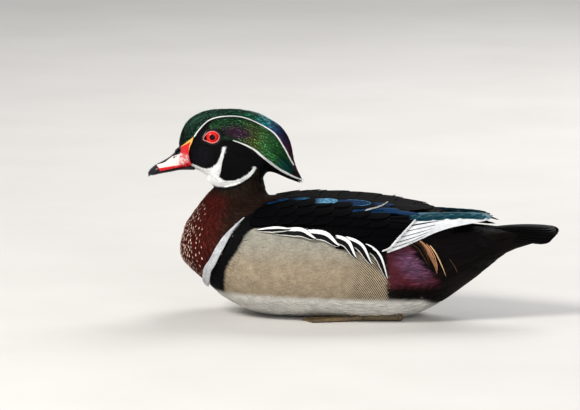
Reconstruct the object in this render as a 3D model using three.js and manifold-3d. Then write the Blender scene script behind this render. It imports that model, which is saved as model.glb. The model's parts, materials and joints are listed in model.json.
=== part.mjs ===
import * as THREE from "three";
import { mergeVertices } from "three/addons/utils/BufferGeometryUtils.js";
import Module from "manifold-3d";

// A wood duck drake afloat, life size, resting on the flat of its belly with its feet tucked under.
// Millimetres, +Z up. The bill points along -X, and the bird's left side is towards -Y.

// Driving dimensions
const GAP = 0.3; // kept between neighbouring pieces
const FINEST = 0.02; // slivers thinner than this are merged
const HEAD_TURN = THREE.MathUtils.degToRad(10); // the head looks a little to the bird's left
const NECK_X = -105.3; // the upright axis that the head turns about
const EYE = { x: -22, side: 14.6, z: 161.2, radius: 7 };
const LID = { radius: 6.5, thickness: 1.1, side: 18.4 };
const NOSTRIL = { x: -56.5, side: 5.8, z: 141.4, size: [2.4, 1.5, 0.9], tilt: -0.6 };
const LOBE_DEPTH = 0.7; // how far the lobes of the bill's base stand over the face
const ACROSS = 130; // more than half the bird's width, for cuts and outlines carried right across it

// The long feathers at the flank's edge, as paths of [x, z] from root to tip.
const FLANK = { core: 0.8, half: 6.5, lift: [-1, 1.6] };
const FLANK_PATHS = [
  [[-88, 79], [-66, 83], [-46, 82]],
  [[-64, 82], [-42, 84], [-21, 77.3]],
  [[-42, 80], [-20, 81], [0, 70.6]],
  [[-28, 73], [-6, 75], [14, 61]],
  [[-12, 66], [10, 68], [28, 55]],
  [[2, 60], [22, 61], [37, 50]],
  [[6, 50], [26, 52], [42, 40]],
  [[4, 36], [24, 36], [41, 30]],
  [[-4, 24], [16, 24], [36, 20]],
];
const RUMP_PLUMES = { half: 2, lift: [-1, 0.6], thick: [1.2, 0.7],
  paths: [[[72, 78], [79, 67], [84, 47]], [[80, 76], [87.5, 64], [92, 42]]] };

// The wing's feathers, in tiers: the tip of the first and of the last as [x, degrees down from the
// top], how many, their lengths, half width, depth of root and height of tip over the wing's surface,
// how much nearer the side the root is, and how much lower each one's tip lies than the last.
const WING = {
  core: -2.6,
  front: -89,
  tiers: [
    { tips: [[-38, 9], [52, 8]], count: 3, length: [50, 60], half: 9, lift: [-3.8, 1.2] },
    { tips: [[-54, 24], [38, 27]], count: 4, length: [36, 54], half: 9, lift: [-3.8, 0.5] },
    { tips: [[-62, 39], [22, 44]], count: 3, length: [34, 50], half: 9, lift: [-3.8, -0.2] },
    { tips: [[-64, 53], [12, 60]], count: 3, length: [30, 40], half: 9, lift: [-3.8, -0.9] },
    { tips: [[14, 71], [32, 50]], count: 3, length: [34, 36], half: 8, lift: [-4, -1.2] },
    { tips: [[46, 35], [78, 14]], count: 3, length: [58, 66], half: 8.5, lift: [-4, 0.8] },
    { tips: [[63, 48], [43, 77]], count: 4, length: [46, 46], half: 8, lift: [-4.2, -1], slant: -3,
      stack: 0.4 },
    { tips: [[88, 32], [131, 58]], count: 6, length: [60, 96], half: 7, lift: [-4.4, -1.4], slant: 10,
      stack: 0.25 },
  ],
};

// The tail's feathers lie round an arc under the ridge, each pair a little deeper than the last.
const TAIL = {
  count: 10, root: 123, tip: 186.6, rounding: 0.14, radius: 22, stack: 0.7, fan: [27, 48], half: 7.5,
  ridge: (x) => 85.6 - 0.0022 * (x - 163) ** 2, covertHalf: 7,
  coverts: [
    { downs: [14, 50], tips: [152, 149], lift: [-3, 1.6] },
    { downs: [164, 124], tips: [156, 151], lift: [-3, 1] },
  ],
};

const wasm = await Module();
wasm.setup();

// Sections of the body. Each row is one section between a point on the upper outline and one on the
// lower outline: upper x, upper z, lower x, lower z, half width, how far up it is widest (0 to 1),
// and how square it is above and below (2 is an ellipse).
const BODY = [
  [-156.5, 60, -156.5, 54, 6, 0.5, 2, 2],
  [-155, 68, -155, 47.5, 20, 0.5, 2, 2],
  [-151, 77, -151, 42, 31, 0.5, 2, 2],
  [-144, 86, -144, 35.5, 41, 0.48, 2, 2],
  [-133, 94.5, -133, 27, 50, 0.48, 2.1, 2],
  [-118, 100.5, -118, 15.5, 57, 0.48, 2.2, 2.1],
  [-98, 104.5, -98, 5.5, 62, 0.47, 2.2, 2.3],
  [-75, 107, -75, -0.5, 65, 0.46, 2.2, 2.4],
  [-45, 108, -45, -1.5, 67.5, 0.45, 2.2, 2.4],
  [-10, 107.5, -10, -1.5, 68, 0.45, 2.2, 2.4],
  [20, 104.5, 20, -1.5, 66, 0.46, 2.2, 2.4],
  [45, 99.5, 45, -0.5, 60, 0.48, 2.2, 2.3],
  [65, 94, 65, 5, 53, 0.5, 2.2, 2.2],
  [85, 89, 85, 16, 45, 0.53, 2.2, 2.1],
  [105, 84.8, 105, 32, 36, 0.56, 2.2, 2],
  [125, 82.6, 125, 49, 27, 0.6, 2.2, 2],
  [141, 81.6, 141, 62, 19, 0.6, 2.2, 2],
  [150, 80.5, 150, 68, 13, 0.6, 2, 2],
];
const CUTS = { torso: 72, tail: 118 }; // where the torso ends and the tail begins, with the rump between
const SKIN = -4; // how deep the flesh lies under the plumage of the flanks and wings

// The outer surface of the folded wings.
const MANTLE = [
  [-104, 98, -104, 20, 56, 0.5, 2.2, 2],
  [-85, 106.5, -85, 15, 61.5, 0.5, 2.2, 2],
  [-60, 110.3, -60, 10, 67, 0.5, 2.2, 2],
  [-30, 111.6, -30, 10, 70, 0.5, 2.2, 2],
  [0, 111, 0, 10, 70.5, 0.5, 2.2, 2],
  [25, 108.6, 25, 10, 68, 0.52, 2.2, 2],
  [50, 104.6, 50, 14, 59, 0.57, 2.2, 2],
  [70, 101, 70, 20, 47, 0.64, 2.2, 2],
  [90, 99.4, 90, 40, 35, 0.66, 2.1, 2],
  [110, 98.4, 110, 60, 24.5, 0.64, 2.1, 2],
  [125, 95, 125, 72, 17, 0.62, 2, 2],
  [134, 91, 134, 80, 11, 0.62, 2, 2],
];

// The head and the swept-back crest, in the turned head's own frame: x from the neck's axis.
const HEAD = [
  [-53, 148, -42, 131, 7, 0.5, 2, 2],
  [-52.5, 155, -38.5, 129.5, 12, 0.5, 2, 2],
  [-50, 165, -34, 128, 15.5, 0.48, 2, 2],
  [-44, 174.5, -29, 124.5, 18.3, 0.45, 2, 2.2],
  [-34, 181, -25, 118, 20.3, 0.42, 2, 2.4],
  [-22.5, 184.2, -21.5, 112, 21.3, 0.4, 2, 2.4],
  [-10, 184.6, -13, 107, 21.6, 0.4, 2, 2.4],
  [3.5, 183.3, 2, 107, 21, 0.42, 2, 2.4],
  [16, 180.5, 14, 110, 19.6, 0.45, 2, 2.3],
  [27, 176, 22, 119, 17.4, 0.48, 2, 2.2],
  [36, 169.3, 26.5, 126, 15, 0.5, 2, 2],
  [43, 160.7, 30.5, 127, 12.4, 0.5, 2, 2],
  [47.7, 150, 37, 125.3, 9.8, 0.5, 2, 2],
  [50.8, 138, 44, 122.5, 7.2, 0.5, 2, 2],
  [54.2, 128, 51, 119.8, 4.4, 0.5, 2, 2],
  [59.4, 118.4, 58, 117.3, 1.2, 0.5, 2, 2],
];
const HEAD_ENDS = 9.6; // the row where the head ends and the crest takes over
const CREST = { starts: 8.8, coreEnds: 11.5, coreDepth: -1, lockShare: 0.115 };

// The neck, from inside the head down into the torso. Its last column is the share of the head's
// turn that the section has.
const NECK = [
  [-17, 121, 17, 126, 15, 0.5, 2, 2, 1],
  [-21.6, 113.4, 22.5, 119, 19.5, 0.5, 2, 2, 1],
  [-26, 109, 24, 110.5, 21.5, 0.5, 2, 2, 0.9],
  [-31, 103.4, 27.5, 104.5, 26, 0.5, 2, 2, 0.75],
  [-36.5, 96, 35, 100.5, 33, 0.5, 2, 2, 0.5],
  [-42.5, 87.5, 46, 95, 41, 0.5, 2, 2, 0.25],
  [-46.5, 78, 52, 86, 46, 0.5, 2, 2, 0],
  [-42, 62, 50, 66, 40, 0.5, 2, 2, 0],
];

// The bill, in the head's frame.
const BILL_UPPER = [
  [-45, 153, -41, 134.6, 8, 0.3, 2, 3],
  [-53, 148, -51, 132, 10, 0.2, 2, 3],
  [-60, 141.4, -58.5, 130.4, 9.9, 0.15, 2, 3],
  [-67, 137, -66, 129, 9.5, 0.12, 2.2, 3],
  [-73.5, 133.6, -73, 127.6, 8.9, 0.12, 2.4, 3],
  [-78, 130.6, -77.5, 124.6, 6.6, 0.2, 2.2, 2.4],
  [-80.3, 126.8, -79.6, 122.7, 3, 0.5, 2, 2],
];
const BILL_LOWER = [
  [-38, 135, -38, 129, 8.2, 0.5, 2, 2],
  [-51, 133, -51, 129, 8.4, 0.5, 2, 2],
  [-60, 131.4, -60, 127.3, 8, 0.5, 2, 2],
  [-69, 130, -69, 125.6, 7.2, 0.5, 2, 2],
  [-75.5, 128, -75, 124.2, 5.2, 0.5, 2, 2],
  [-78, 126, -77.5, 124, 2, 0.5, 2, 2],
];
// The side lobes of the bill's base, over the face, as the side view shows them.
const BILL_LOBE = [[-56, 146], [-52, 149.6], [-45, 154], [-38.6, 161], [-40, 157],
  [-42.3, 152], [-43.2, 146], [-42.6, 140], [-40.5, 134.6], [-46, 131.5], [-56, 131]];

// The tucked legs and feet: heel, joint of the toes and toe tips. The y is for the right side.
const FOOT = {
  heel: [48, 30, 3.6], ankle: [14, 37, 3.2], thigh: [40, 32, 13.6], tips: [[-30, 28], [-38, 42], [-27, 54]],
  shank: [3.4, 2.6], knuckles: [3.8, 3.2], flesh: 4.5, toe: [2.6, 1.3], toeHeight: 1.6, web: 1.2,
  webHeight: 0.2,
};

// The line where flank and wing meet, seen from the side, and the outlines that it divides.
const DIVIDE = [[-83, 85.3], [-50, 87.6], [-27, 87.3], [-4, 82.7], [14.5, 74.8], [28, 67.6], [37, 60]];
const FLANK_REST = [[42, 41], [37, 27], [18, 17], [-30, 13], [-80, 16], [-104, 27], [-104.5, 45],
  [-96, 70]];
const WING_REST = [[42, 64], [50, 84], [58, 100], [58, 130], [-62, 130], [-92, 92]];

const clamp = THREE.MathUtils.clamp;
const lerp = THREE.MathUtils.lerp;
const radians = THREE.MathUtils.degToRad;
const SIDES = [["left", -1], ["right", 1]];

// A row between the rows, by a Catmull-Rom spline through each column.
function rowAt(rows, t) {
  const i = clamp(Math.floor(t), 0, rows.length - 2);
  const f = t - i;
  const before = rows[i - 1] ?? rows[i].map((v, k) => 2 * v - rows[i + 1][k]);
  const after = rows[i + 2] ?? rows[i + 1].map((v, k) => 2 * v - rows[i][k]);
  return rows[i].map((p1, k) => {
    const p0 = before[k];
    const p2 = rows[i + 1][k];
    const p3 = after[k];
    return 0.5 * (2 * p1 + (p2 - p0) * f + (2 * p0 - 5 * p1 + 4 * p2 - p3) * f * f
      + (3 * p1 - p0 - 3 * p2 + p3) * f * f * f);
  });
}

// The point of a section at an angle: 0 is the bird's right side, a quarter turn is the top.
function sectionPoint(row, angle) {
  const [ux, uz, lx, lz, half, widest, above, below, turn] = row;
  const c = Math.cos(angle);
  const s = Math.sin(angle);
  const power = 2 / (s > 0 ? above : below);
  const rise = Math.abs(s) ** power;
  const up = s > 0 ? widest + (1 - widest) * rise : widest * (1 - rise);
  const y = half * Math.sign(c) * Math.abs(c) ** power;
  const p = new THREE.Vector3(lerp(lx, ux, up), y, lerp(lz, uz, up));
  if (turn !== undefined)
    p.applyAxisAngle(new THREE.Vector3(0, 0, 1), turn * HEAD_TURN).add(new THREE.Vector3(NECK_X, 0, 0));
  return p;
}

// A closed body from points and triangles, turned face out.
function closed(points, index) {
  let volume = 0;
  for (let i = 0; i < index.length; i += 3) {
    const [a, b, c] = [points[index[i]], points[index[i + 1]], points[index[i + 2]]];
    volume += a.dot(b.clone().cross(c));
  }
  const g = new THREE.BufferGeometry().setFromPoints(points);
  g.setIndex(volume < 0 ? index.reverse() : index);
  g.computeVertexNormals();
  return g;
}

// Moves every vertex out along its normal.
function grown(geometry, by) {
  const p = geometry.getAttribute("position");
  const n = geometry.getAttribute("normal");
  for (let i = 0; i < p.count; i++)
    p.setXYZ(i, p.getX(i) + by * n.getX(i), p.getY(i) + by * n.getY(i), p.getZ(i) + by * n.getZ(i));
  return geometry;
}

// A body through its sections, from one row to another, with flat ends.
function loft(rows, { from = 0, to = rows.length - 1, steps = 2, around = 24, grow = 0 } = {}) {
  const count = Math.max(2, Math.round((to - from) * steps));
  const points = [];
  for (let i = 0; i <= count; i++) {
    const row = rowAt(rows, lerp(from, to, i / count));
    for (let j = 0; j < around; j++) points.push(sectionPoint(row, (j / around) * 2 * Math.PI));
  }
  const index = [];
  for (let i = 0; i < count; i++)
    for (let j = 0; j < around; j++) {
      const a = i * around + j;
      const b = i * around + ((j + 1) % around);
      index.push(a, b, a + around, b, b + around, a + around);
    }
  for (const [ring, turned] of [[0, true], [count, false]]) {
    const centre = new THREE.Vector3();
    for (let j = 0; j < around; j++) centre.addScaledVector(points[ring * around + j], 1 / around);
    points.push(centre);
    for (let j = 0; j < around; j++) {
      const a = ring * around + j;
      const b = ring * around + ((j + 1) % around);
      index.push(points.length - 1, ...(turned ? [b, a] : [a, b]));
    }
  }
  const g = closed(points, index);
  return grow ? grown(g, grow) : g;
}

// The place of an x among the rows.
function rowOf(rows, x) {
  let i = 0;
  while (i < rows.length - 2 && rows[i + 1][0] < x) i++;
  return i + (x - rows[i][0]) / (rows[i + 1][0] - rows[i][0]);
}

// The angle down from the top, in degrees, of the surface at a height z.
function downTo(rows, x, z) {
  const row = rowAt(rows, rowOf(rows, x));
  let [high, low] = [0, 180];
  for (let i = 0; i < 20; i++) {
    const middle = (high + low) / 2;
    if (sectionPoint(row, radians(90 - middle)).z > z) high = middle;
    else low = middle;
  }
  return high;
}

// A side outline carried across the bird, from one y to another.
function prism(outline, y0, y1) {
  const shape = new THREE.Shape(outline.map(([x, z]) => new THREE.Vector2(x, z)));
  const g = new THREE.ExtrudeGeometry(shape, { depth: Math.abs(y1 - y0), bevelEnabled: false, steps: 1 });
  return g.rotateX(Math.PI / 2).translate(0, Math.max(y0, y1), 0);
}

// An outline moved out by a distance, whichever way it runs.
function spread(outline, by) {
  const area = THREE.ShapeUtils.area(outline.map(([x, y]) => new THREE.Vector2(x, y)));
  return outline.map(([x, y], i) => {
    const [px, py] = outline.at(i - 1);
    const [nx, ny] = outline[(i + 1) % outline.length];
    const a = new THREE.Vector2(y - py, px - x).normalize();
    const b = new THREE.Vector2(ny - y, x - nx).normalize();
    const out = a.add(b).normalize().multiplyScalar(by * Math.sign(area));
    return [x + out.x, y + out.y];
  });
}

// A feather: a thin plate on rings along a line, pointed at its end. Both faces are split alike.
function vane({ line, up, half, thick }) {
  const last = line.length - 1;
  const points = [];
  for (let i = 0; i <= last; i++) {
    const along = line[Math.min(i + 1, last)].clone().sub(line[Math.max(i - 1, 0)]).normalize();
    const across = along.clone().cross(up[i]).normalize();
    const lift = across.clone().cross(along);
    const corner = (b, h) => line[i].clone().addScaledVector(across, b * half[i])
      .addScaledVector(lift, h * thick[i]);
    if (i === last) points.push(corner(0, 0.5));
    else points.push(corner(-1, 1), corner(1, 1), corner(1, 0), corner(-1, 0));
  }
  const index = [0, 2, 1, 0, 3, 2];
  for (let i = 0; i < last; i++)
    for (let k = 0; k < 4; k++) {
      const [a, b] = [4 * i + k, 4 * i + ((k + 1) % 4)];
      if (i === last - 1) index.push(a, b, 4 * last);
      else if (k < 2) index.push(a, b, a + 4, b, b + 4, a + 4);
      else index.push(a, b, b + 4, a, b + 4, a + 4);
    }
  return solid(closed(points, index));
}

// Where a feather's rings lie along it, and how wide it is at each, as shares of its size.
const BLUNT = { at: [0, 0.5, 0.88, 1], wide: [0.6, 1, 0.8, 0] };
const POINTED = { at: [0, 0.35, 0.75, 1], wide: [0.6, 1, 0.7, 0] };
const LOCK = { at: [0, 0.3, 0.65, 1], wide: [0.9, 1, 1, 0] };

// A feather over a surface. Its path is a list of [row, degrees down from the top].
function feather(rows, side, { path, half, lift, thick = [0.7, 0.5], shape = BLUNT }) {
  const line = [];
  const up = [];
  for (const a of shape.at) {
    const [t, down] = rowAt(path, a * (path.length - 1));
    const angle = radians(90 - down);
    const point = sectionPoint(rowAt(rows, t), angle);
    const along = sectionPoint(rowAt(rows, t + 0.05), angle).sub(sectionPoint(rowAt(rows, t - 0.05), angle));
    const across = sectionPoint(rowAt(rows, t), angle + 0.05).sub(sectionPoint(rowAt(rows, t), angle - 0.05));
    const normal = across.cross(along).normalize();
    point.addScaledVector(normal, lerp(lift[0], lift[1], a));
    for (const v of [point, normal]) v.y *= side;
    line.push(point);
    up.push(normal);
  }
  const halfAt = shape.wide.map((w, i) => w * (typeof half === "number" ? half : half(shape.at[i])));
  return vane({ line, up, half: halfAt, thick: shape.at.map((a) => lerp(thick[0], thick[1], a)) });
}

function solid(geometry, matrix) {
  const g = geometry.index ? geometry.toNonIndexed() : geometry.clone();
  g.deleteAttribute("normal");
  g.deleteAttribute("uv");
  if (matrix) g.applyMatrix4(matrix);
  const merged = mergeVertices(g, 1e-4);
  return new wasm.Manifold(new wasm.Mesh({
    numProp: 3,
    vertProperties: merged.attributes.position.array,
    triVerts: new Uint32Array(merged.index.array),
  }));
}
const join = (...parts) => parts.flat(2).reduce((a, b) => a.add(b));
const cut = (whole, ...tools) => tools.flat(2).reduce((a, b) => a.subtract(b), whole);

// The largest closed surface of a solid, as a geometry.
function geometryOf(made) {
  const [largest] = made.simplify(FINEST).decompose().sort((a, b) => b.volume() - a.volume());
  const m = largest.getMesh();
  return new THREE.BufferGeometry()
    .setAttribute("position", new THREE.BufferAttribute(new Float32Array(m.vertProperties), 3))
    .setIndex(new THREE.BufferAttribute(new Uint32Array(m.triVerts), 1));
}

const model = new THREE.Group();
const headGroup = new THREE.Group();
headGroup.position.x = NECK_X;
headGroup.rotation.z = HEAD_TURN;
headGroup.updateMatrix();
model.add(headGroup);

const finish = (color, roughness, metalness = 0) =>
  new THREE.MeshStandardMaterial({ color, roughness, metalness });
const looks = {
  crown: finish(0x14402a, 0.4, 0.4),
  crest: finish(0x1c3a4a, 0.4, 0.4),
  neck: finish(0x3a2118, 0.7),
  breast: finish(0x4a1712, 0.7),
  flank: finish(0xa08c6a, 0.8),
  wing: finish(0x101216, 0.5, 0.2),
  rump: finish(0x17110f, 0.7),
  tail: finish(0x0d110f, 0.5),
  bill: finish(0xc81e28, 0.35),
  billDark: finish(0x0c0c0e, 0.35),
  eye: finish(0xd8100c, 0.1),
  leg: finish(0xb07a2a, 0.6),
};

function add(name, made, material, group = model) {
  const mesh = new THREE.Mesh(geometryOf(made), material);
  mesh.name = name;
  group.add(mesh);
}

// The head, with sockets for the eyes and a raised lid round each.
const headOf = (grow, matrix) => solid(loft(HEAD, { to: HEAD_ENDS, steps: 1.6, around: 22, grow }), matrix);
function eyeball(side, grow) {
  return solid(new THREE.SphereGeometry(EYE.radius + grow, 12, 8).translate(EYE.x, side * EYE.side, EYE.z));
}
function lid(side) {
  const g = new THREE.TorusGeometry(LID.radius, LID.thickness, 4, 14);
  g.scale(1.12, 1, 1).rotateX(Math.PI / 2).rotateZ(side * 0.12).rotateX(side * 0.16);
  return solid(g.translate(EYE.x, side * LID.side, EYE.z));
}
{
  const lids = SIDES.map(([, side]) => lid(side));
  const sockets = SIDES.map(([, side]) => eyeball(side, GAP));
  add("head", cut(join(headOf(0), lids), sockets), looks.crown, headGroup);
  for (const [name, side] of SIDES) add("eye_" + name, eyeball(side, 0), looks.eye, headGroup);
}

// The crest: flat tapered feathers over a short core, swept back and down to one tip.
{
  const locks = [];
  const perSide = 6;
  for (const [, side] of SIDES)
    for (let i = 0; i < perSide; i++) {
      const down = ((i + 0.5) / perSide) * 180;
      const long = i % 2 === 0 || i === perSide - 2;
      const root = HEAD_ENDS + 0.15 + 0.3 * (i % 3);
      const tip = long ? 14.95 - 0.1 * (i % 3) : 13.1 + 0.3 * (i % 4);
      const half = (a) => {
        const [ux, uz, lx, lz, wide] = rowAt(HEAD, lerp(root, tip, a));
        return CREST.lockShare * (wide + Math.hypot(ux - lx, uz - lz) / 2);
      };
      const lift = [-2.6, long ? 0.3 : -0.6];
      locks.push(feather(HEAD, side, { path: [[root, down], [tip, down]], half, lift, shape: LOCK }));
    }
  const { starts, coreEnds, coreDepth } = CREST;
  const core = solid(loft(HEAD, { from: starts, to: coreEnds, around: 12, grow: coreDepth }));
  add("crest", cut(join(core, locks), headOf(GAP)), looks.crest, headGroup);
}

// The bill: an upper mandible with lobes up the face, a hooked nail and nostrils, and a lower one.
{
  const lobes = headOf(GAP + LOBE_DEPTH).intersect(solid(prism(BILL_LOBE, -ACROSS, ACROSS)));
  const nostrils = SIDES.map(([, side]) => {
    const g = new THREE.SphereGeometry(1, 10, 6).scale(...NOSTRIL.size).rotateY(NOSTRIL.tilt);
    return solid(g.translate(NOSTRIL.x, side * NOSTRIL.side, NOSTRIL.z));
  });
  const upperOf = (grow) => solid(loft(BILL_UPPER, { steps: 1.5, around: 14, grow }));
  add("bill_upper", cut(join(upperOf(0), lobes), headOf(GAP), nostrils), looks.bill, headGroup);
  const lower = solid(loft(BILL_LOWER, { steps: 1.5, around: 10 }));
  add("bill_lower", cut(lower, upperOf(GAP), headOf(GAP + LOBE_DEPTH + GAP)), looks.billDark, headGroup);
}

// The body whole, flat under the belly. The flanks and wings lie in hollows cut down to the flesh.
function bodyOf(grow) {
  const g = loft(BODY, { steps: 1.2, around: 22, grow });
  const p = g.getAttribute("position");
  if (grow <= 0)
    for (let i = 0; i < p.count; i++) p.setZ(i, Math.max(-Math.min(grow, 0), p.getZ(i)));
  return solid(g);
}
function boxOf([x0, x1], [y0, y1], [z0, z1]) {
  const g = new THREE.BoxGeometry(x1 - x0, y1 - y0, z1 - z0);
  return solid(g.translate((x0 + x1) / 2, (y0 + y1) / 2, (z0 + z1) / 2));
}
const LONG = 2 * ACROSS; // more than the bird's length from the middle, or its height
const slice = (x0, x1) => boxOf([x0, x1], [-ACROSS, ACROSS], [-ACROSS, LONG]);
const overFloor = (made, z) => made.intersect(boxOf([-LONG, LONG], [-ACROSS, ACROSS], [z, LONG]));

// The legs, folded forward under the belly, and the webbed feet.
function bone(a, b, ra, rb, grow) {
  const from = new THREE.Vector3(...a);
  const to = new THREE.Vector3(...b);
  const g = new THREE.CylinderGeometry(rb + grow, ra + grow, from.distanceTo(to) + 2 * grow, 6, 1);
  const turn = new THREE.Quaternion().setFromUnitVectors(
    new THREE.Vector3(0, 1, 0), to.clone().sub(from).normalize());
  return solid(g.applyQuaternion(turn).translate(...from.lerp(to, 0.5)));
}
const ball = (p, r, grow) => solid(new THREE.SphereGeometry(r + grow, 7, 5).translate(...p));
function legOf(side, grow) {
  const [heel, ankle, thigh] = [FOOT.heel, FOOT.ankle, FOOT.thigh].map(([x, y, z]) => [x, side * y, z]);
  const [wide, narrow] = FOOT.shank;
  const bones = join(bone(heel, ankle, wide, narrow, grow), ball(heel, FOOT.knuckles[0], grow),
    bone(heel, thigh, wide, FOOT.flesh, grow));
  return overFloor(bones, grow ? -1 : 0);
}
function footOf(side, grow) {
  const [ax, ay, az] = FOOT.ankle;
  const joint = [ax, side * ay, az];
  const toes = FOOT.tips.map(([x, y]) => bone(joint, [x, side * y, FOOT.toeHeight], ...FOOT.toe, grow));
  const web = new THREE.Shape([[ax, ay], ...FOOT.tips].map(([x, y]) => new THREE.Vector2(x, side * y)));
  const sheet = new THREE.ExtrudeGeometry(web, { depth: FOOT.web + 2 * grow, bevelEnabled: false });
  sheet.translate(0, 0, FOOT.webHeight - grow);
  const foot = join(toes, ball(joint, FOOT.knuckles[1], grow), solid(sheet));
  return overFloor(foot, grow ? -1 : 0);
}

const FLANK_OUTLINE = [...DIVIDE, ...FLANK_REST];
const WING_OUTLINE = [...DIVIDE.map(([x, z]) => [x, z + GAP]), ...WING_REST];
const underPlumage = bodyOf(SKIN + GAP);
const whole = bodyOf(0);
{
  const hollows = [FLANK_OUTLINE, WING_OUTLINE].map((outline) =>
    solid(prism(spread(outline, GAP), -ACROSS, ACROSS)));
  const feet = SIDES.map(([, side]) => [legOf(side, GAP), footOf(side, GAP)]);
  const torso = join(bodyOf(SKIN), cut(whole, hollows));
  add("torso", cut(torso.intersect(slice(-LONG, CUTS.torso - GAP / 2)), feet), looks.breast);
  for (const [name, side] of SIDES) {
    add("leg_" + name, cut(legOf(side, 0), footOf(side, GAP)), looks.leg);
    add("foot_" + name, footOf(side, 0), looks.leg);
  }
}

// The neck.
const neckOf = (grow) => solid(loft(NECK, { steps: 1.6, around: 22, grow }));
add("neck", cut(neckOf(0), headOf(GAP, headGroup.matrix), bodyOf(GAP)), looks.neck);

// The flanks: a smooth side of short plumage, edged above and behind by long overlapping feathers.
for (const [name, side] of SIDES) {
  const panel = solid(prism(FLANK_OUTLINE, side * 5, side * ACROSS));
  const core = bodyOf(FLANK.core).intersect(panel);
  const edge = FLANK_PATHS.map((path) => feather(BODY, side, {
    path: path.map(([x, z]) => [rowOf(BODY, x), downTo(BODY, x, z)]),
    half: FLANK.half, lift: FLANK.lift, shape: POINTED }));
  const wingZone = solid(prism([...DIVIDE, [60, 60], [60, 130], [-83, 130]], side, side * ACROSS));
  const clear = [cut(bodyOf(GAP), panel), underPlumage, neckOf(GAP), wingZone];
  add("flank_" + name, overFloor(cut(join(core, edge), clear), 0), looks.flank);
}

// The wings: a core over the folded arm, with the feathers in tiers over it. A later tier lies
// under the tips of the one before.
for (const [name, side] of SIDES) {
  const panel = solid(prism(WING_OUTLINE, side * GAP / 2, side * ACROSS));
  const core = solid(loft(MANTLE, { steps: 1, around: 18, grow: WING.core })).intersect(panel);
  const feathers = [];
  for (const { tips, count, length, half, lift, slant = 0, stack = 0 } of WING.tiers)
    for (let i = 0; i < count; i++) {
      const a = i / (count - 1);
      const x = lerp(tips[0][0], tips[1][0], a);
      const down = lerp(tips[0][1], tips[1][1], a);
      const root = Math.max(x - lerp(length[0], length[1], a), WING.front);
      feathers.push(feather(MANTLE, side, {
        path: [[rowOf(MANTLE, root), down + slant], [rowOf(MANTLE, x), down]], half,
        lift: [lift[0], lift[1] - stack * i] }));
    }
  const overDivide = DIVIDE.map(([x, z]) => [x, z + GAP]);
  const flankZone = solid(prism([...overDivide, [60, 60 + GAP], [60, 20], [-110, 20], [-110, 80]],
    side, side * ACROSS));
  const midline = boxOf([-LONG, LONG], side < 0 ? [-GAP / 2, ACROSS] : [-ACROSS, GAP / 2], [0, LONG]);
  const clear = [cut(bodyOf(GAP), panel), underPlumage, neckOf(GAP), flankZone, midline];
  add("wing_" + name, cut(join(core, feathers), clear), looks.wing);
}

// The rump, with two long plumes drooping over each side.
{
  const { paths, half, lift, thick } = RUMP_PLUMES;
  const plumes = SIDES.map(([, side]) => paths.map((path) => feather(BODY, side, {
    path: path.map(([x, z]) => [rowOf(BODY, x), downTo(BODY, x, z)]), half, lift, thick, shape: POINTED })));
  const rump = join(whole, plumes).intersect(slice(CUTS.torso + GAP / 2, CUTS.tail - GAP / 2));
  add("rump", rump, looks.rump);
}

// The tail: a roof-shaped fan, with coverts over and under its roots.
{
  const fan = [];
  const middle = (TAIL.count - 1) / 2;
  for (let k = 0; k < TAIL.count; k++) {
    const off = k - middle;
    const tip = TAIL.tip - TAIL.rounding * off * off;
    const radius = TAIL.radius - TAIL.stack * Math.abs(off);
    const turns = BLUNT.at.map((a) => radians((off / middle) * lerp(TAIL.fan[0], TAIL.fan[1], a)));
    const up = turns.map((turn) => new THREE.Vector3(0, Math.sin(turn), Math.cos(turn)));
    const line = BLUNT.at.map((a, i) => {
      const x = lerp(TAIL.root, tip, a);
      return new THREE.Vector3(x, 0, TAIL.ridge(x) - TAIL.radius).addScaledVector(up[i], radius);
    });
    const thick = BLUNT.at.map((a) => lerp(0.6, 0.5, a));
    fan.push(vane({ line, up, half: BLUNT.wide.map((w) => w * TAIL.half), thick }));
  }
  const coverts = [];
  for (const [, side] of SIDES)
    for (const { downs, tips, lift } of TAIL.coverts)
      downs.forEach((down, i) => coverts.push(feather(BODY, side, {
        path: [[rowOf(BODY, TAIL.root), down], [rowOf(BODY, tips[i]), down]],
        half: TAIL.covertHalf, lift, shape: POINTED })));
  const behind = slice(CUTS.tail + GAP / 2, LONG);
  const base = whole.intersect(behind);
  const rear = join(fan, coverts).intersect(behind);
  add("tail", join(base, rear), looks.tail);
}

export default model;
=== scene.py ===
"""A wood duck drake, life size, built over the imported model: a skin, plumage, bill, eyes and feet.

Metres, +Z up. The bill points along -X and the bird's left side is towards -Y.
"""
import bpy
import json
import math
import numpy as np
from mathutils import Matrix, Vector
from mathutils.bvhtree import BVHTree

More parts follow.
